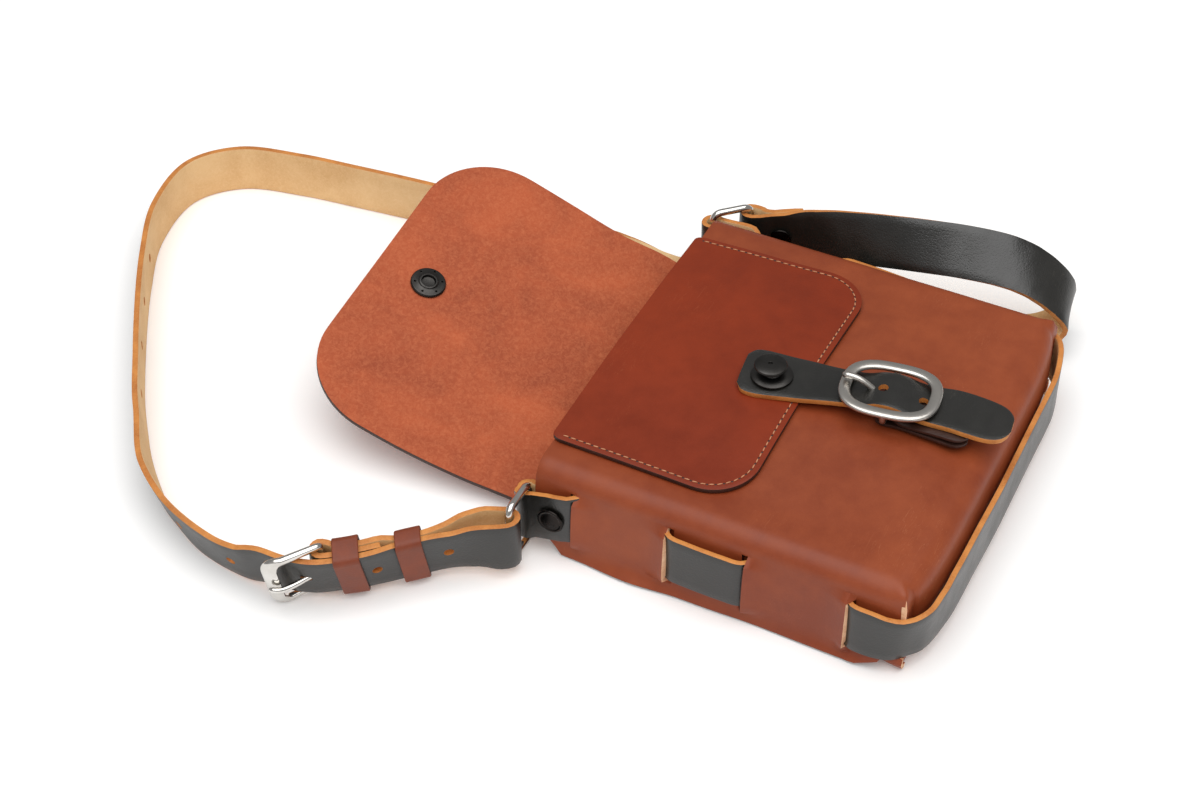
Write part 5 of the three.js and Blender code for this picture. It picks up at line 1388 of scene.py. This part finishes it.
def buildShoulder():
    rows = []
    for row in rein["rows"]:
        flat = onRein(*row)
        rows.append((*leaned(flat), *(leaned(flat + upward) - leaned(flat))))
    rows += shoulder["rows"]
    frames = strapFrames(rows, shoulder["step"])
    piece = strapPiece("shoulder_strap_leather", frames, shoulder["width"], shoulder["thick"], strapSet)
    roundEdges(piece, shoulder["edge"])
    spots = []
    for i, hole in enumerate(shoulder["holes"]):
        at = leaned(hole) if i < shoulder["leanHoles"] else Vector(hole)
        near = min(frames, key=lambda f: (f[0] - at).length)
        spots.append((at, near[2], 1.7))
    spots.append((Vector(fittings["strapRivet"]), Vector(fittings["strapRivetAxis"]).normalized(), 5))
    combine(piece, holeCutter(spots, shoulder["hole"], strapSet, 2))
    cutter = tubePiece("prong_room", strapProng(), shoulder["prongRoom"], 12)
    setMaterials(cutter, *strapSet)
    paintFaces(cutter, 2)
    combine(piece, cutter)
    finishPiece(piece, "shoulder_strap")


def buildStrapBuckle():
    plan = []
    for side, end, quarter in ((1, 0, -1), (1, 1, 0), (-1, 1, 1), (-1, 0, 2)):
        for k in range(9):
            a = math.pi / 2 * (quarter + k / 8)
            r = buckle["corner"] if end else buckle["heelCorner"]
            along = buckle["length"] - r if end else r
            plan.append((along + r * math.sin(a), side * (buckle["arm"] - r) + r * math.cos(a)))
    heelD, heelN, heelZ = buckle["heel"]

    def at(d, w):
        share = d / buckle["length"]
        p = onRein(heelD + d + buckle["skew"] * w * share, heelN + share * buckle["rise"], heelZ)
        return p + Vector((0, 0, w))

    centres, sections = [], []
    outward = Vector((*rein["out"], 0))
    for i, (d, w) in enumerate(plan):
        run = (at(*plan[(i + 1) % len(plan)]) - at(*plan[i - 1])).normalized()
        face = (outward - run * outward.dot(run)).normalized()
        centres.append((at(d, w), run.cross(face), face))
        wide = buckle["barWide"] + buckle["footWider"] * smooth((d / buckle["length"] - 0.7) / 0.3)
        sections.append(barSection(wide, buckle["barTall"], 0.7))
    piece = sweepLoop("strap_buckle_frame", centres, sections)
    leanPiece(piece)
    setMaterials(piece, brightNickel)
    finishPiece(piece, "strap_buckle", 50)
    prong = tubePiece("strap_buckle_tongue", strapProng(), buckle["prongRadius"], 14)
    setMaterials(prong, brightNickel)
    finishPiece(prong, "strap_buckle_prong", 60)


def buildKeeper(name, node, d, low, high, z):
    turn = math.atan(buckle["keeperSlope"])
    along, out = Vector((*rein["along"], 0)), Vector((*rein["out"], 0))
    run = along * math.cos(turn) + out * math.sin(turn)
    face = out * math.cos(turn) - along * math.sin(turn)
    thick = buckle["keeperThick"]
    half = shoulder["width"] / 2 + buckle["keeperRoom"] + thick / 2
    inner, outer = low - thick / 2, high + thick / 2
    r = buckle["keeperCorner"]
    centres = []
    for cx, cy, quarter in ((outer - r, half - r, 0), (inner + r, half - r, 1), (inner + r, r - half, 2),
                            (outer - r, r - half, 3)):
        for k in range(7):
            a = math.pi / 2 * (quarter + k / 6)
            away = face * math.cos(a) + upward * math.sin(a)
            at = onRein(d, 0, z) + face * cx + upward * cy + away * r
            centres.append((at + along * buckle["keeperTilt"] * (at.z - z), away, run))
    wide = buckle["keeperWide"] / 2
    edge, t = buckle["keeperEdge"], thick / 2
    section = [(t, -wide + edge), (t, -wide / 2), (t, 0), (t, wide / 2), (t, wide - edge), (t - edge, wide),
               (edge - t, wide), (-t, wide - edge), (-t, 0), (-t, edge - wide), (edge - t, -wide), (t - edge, -wide)]
    piece = sweepLoop(name, centres, [section] * len(centres))
    setMaterials(piece, keeperGrain, dyedEdgeAndShade)
    for polygon in piece.data.polygons:
        if abs(polygon.normal.dot(run)) > 0.75:
            polygon.material_index = 1
    leanPiece(piece)
    finishPiece(piece, node, 40)


nearWire = onRein(*rein["nearWire"], 0)
wireY, wireOff = lacing["wire"]
buildRing("near_ring_wire", "near_ring", (-wallHalf(wireY, -1) - wireOff, wireY), nearWire, fittings["nearZ"])
buildRing("far_ring_wire", "far_ring", (wallHalf(wireY, 1) + wireOff, wireY), fittings["farWire"], fittings["farZ"])
for side, label in ((-1, "near"), (1, "far")):
    y = lacing["rivetY"]
    at = (side * (wallHalf(y, side) + fittings["rivetOut"]), y, lacingHeight(side, y))
    buildRivet(label + "_rivet_cap", label + "_rivet", fittings["rivet"], at, (side, 0, 0))
buildRivet("strap_rivet_cap", "strap_rivet", fittings["shortRivet"], fittings["strapRivet"], fittings["strapRivetAxis"])
print("rings and rivets built")

buildShoulder()
buildStrapBuckle()
for keeper in buckle["keepers"]:
    buildKeeper(*keeper)
print("shoulder strap, buckle and keepers built")

deselectAll()
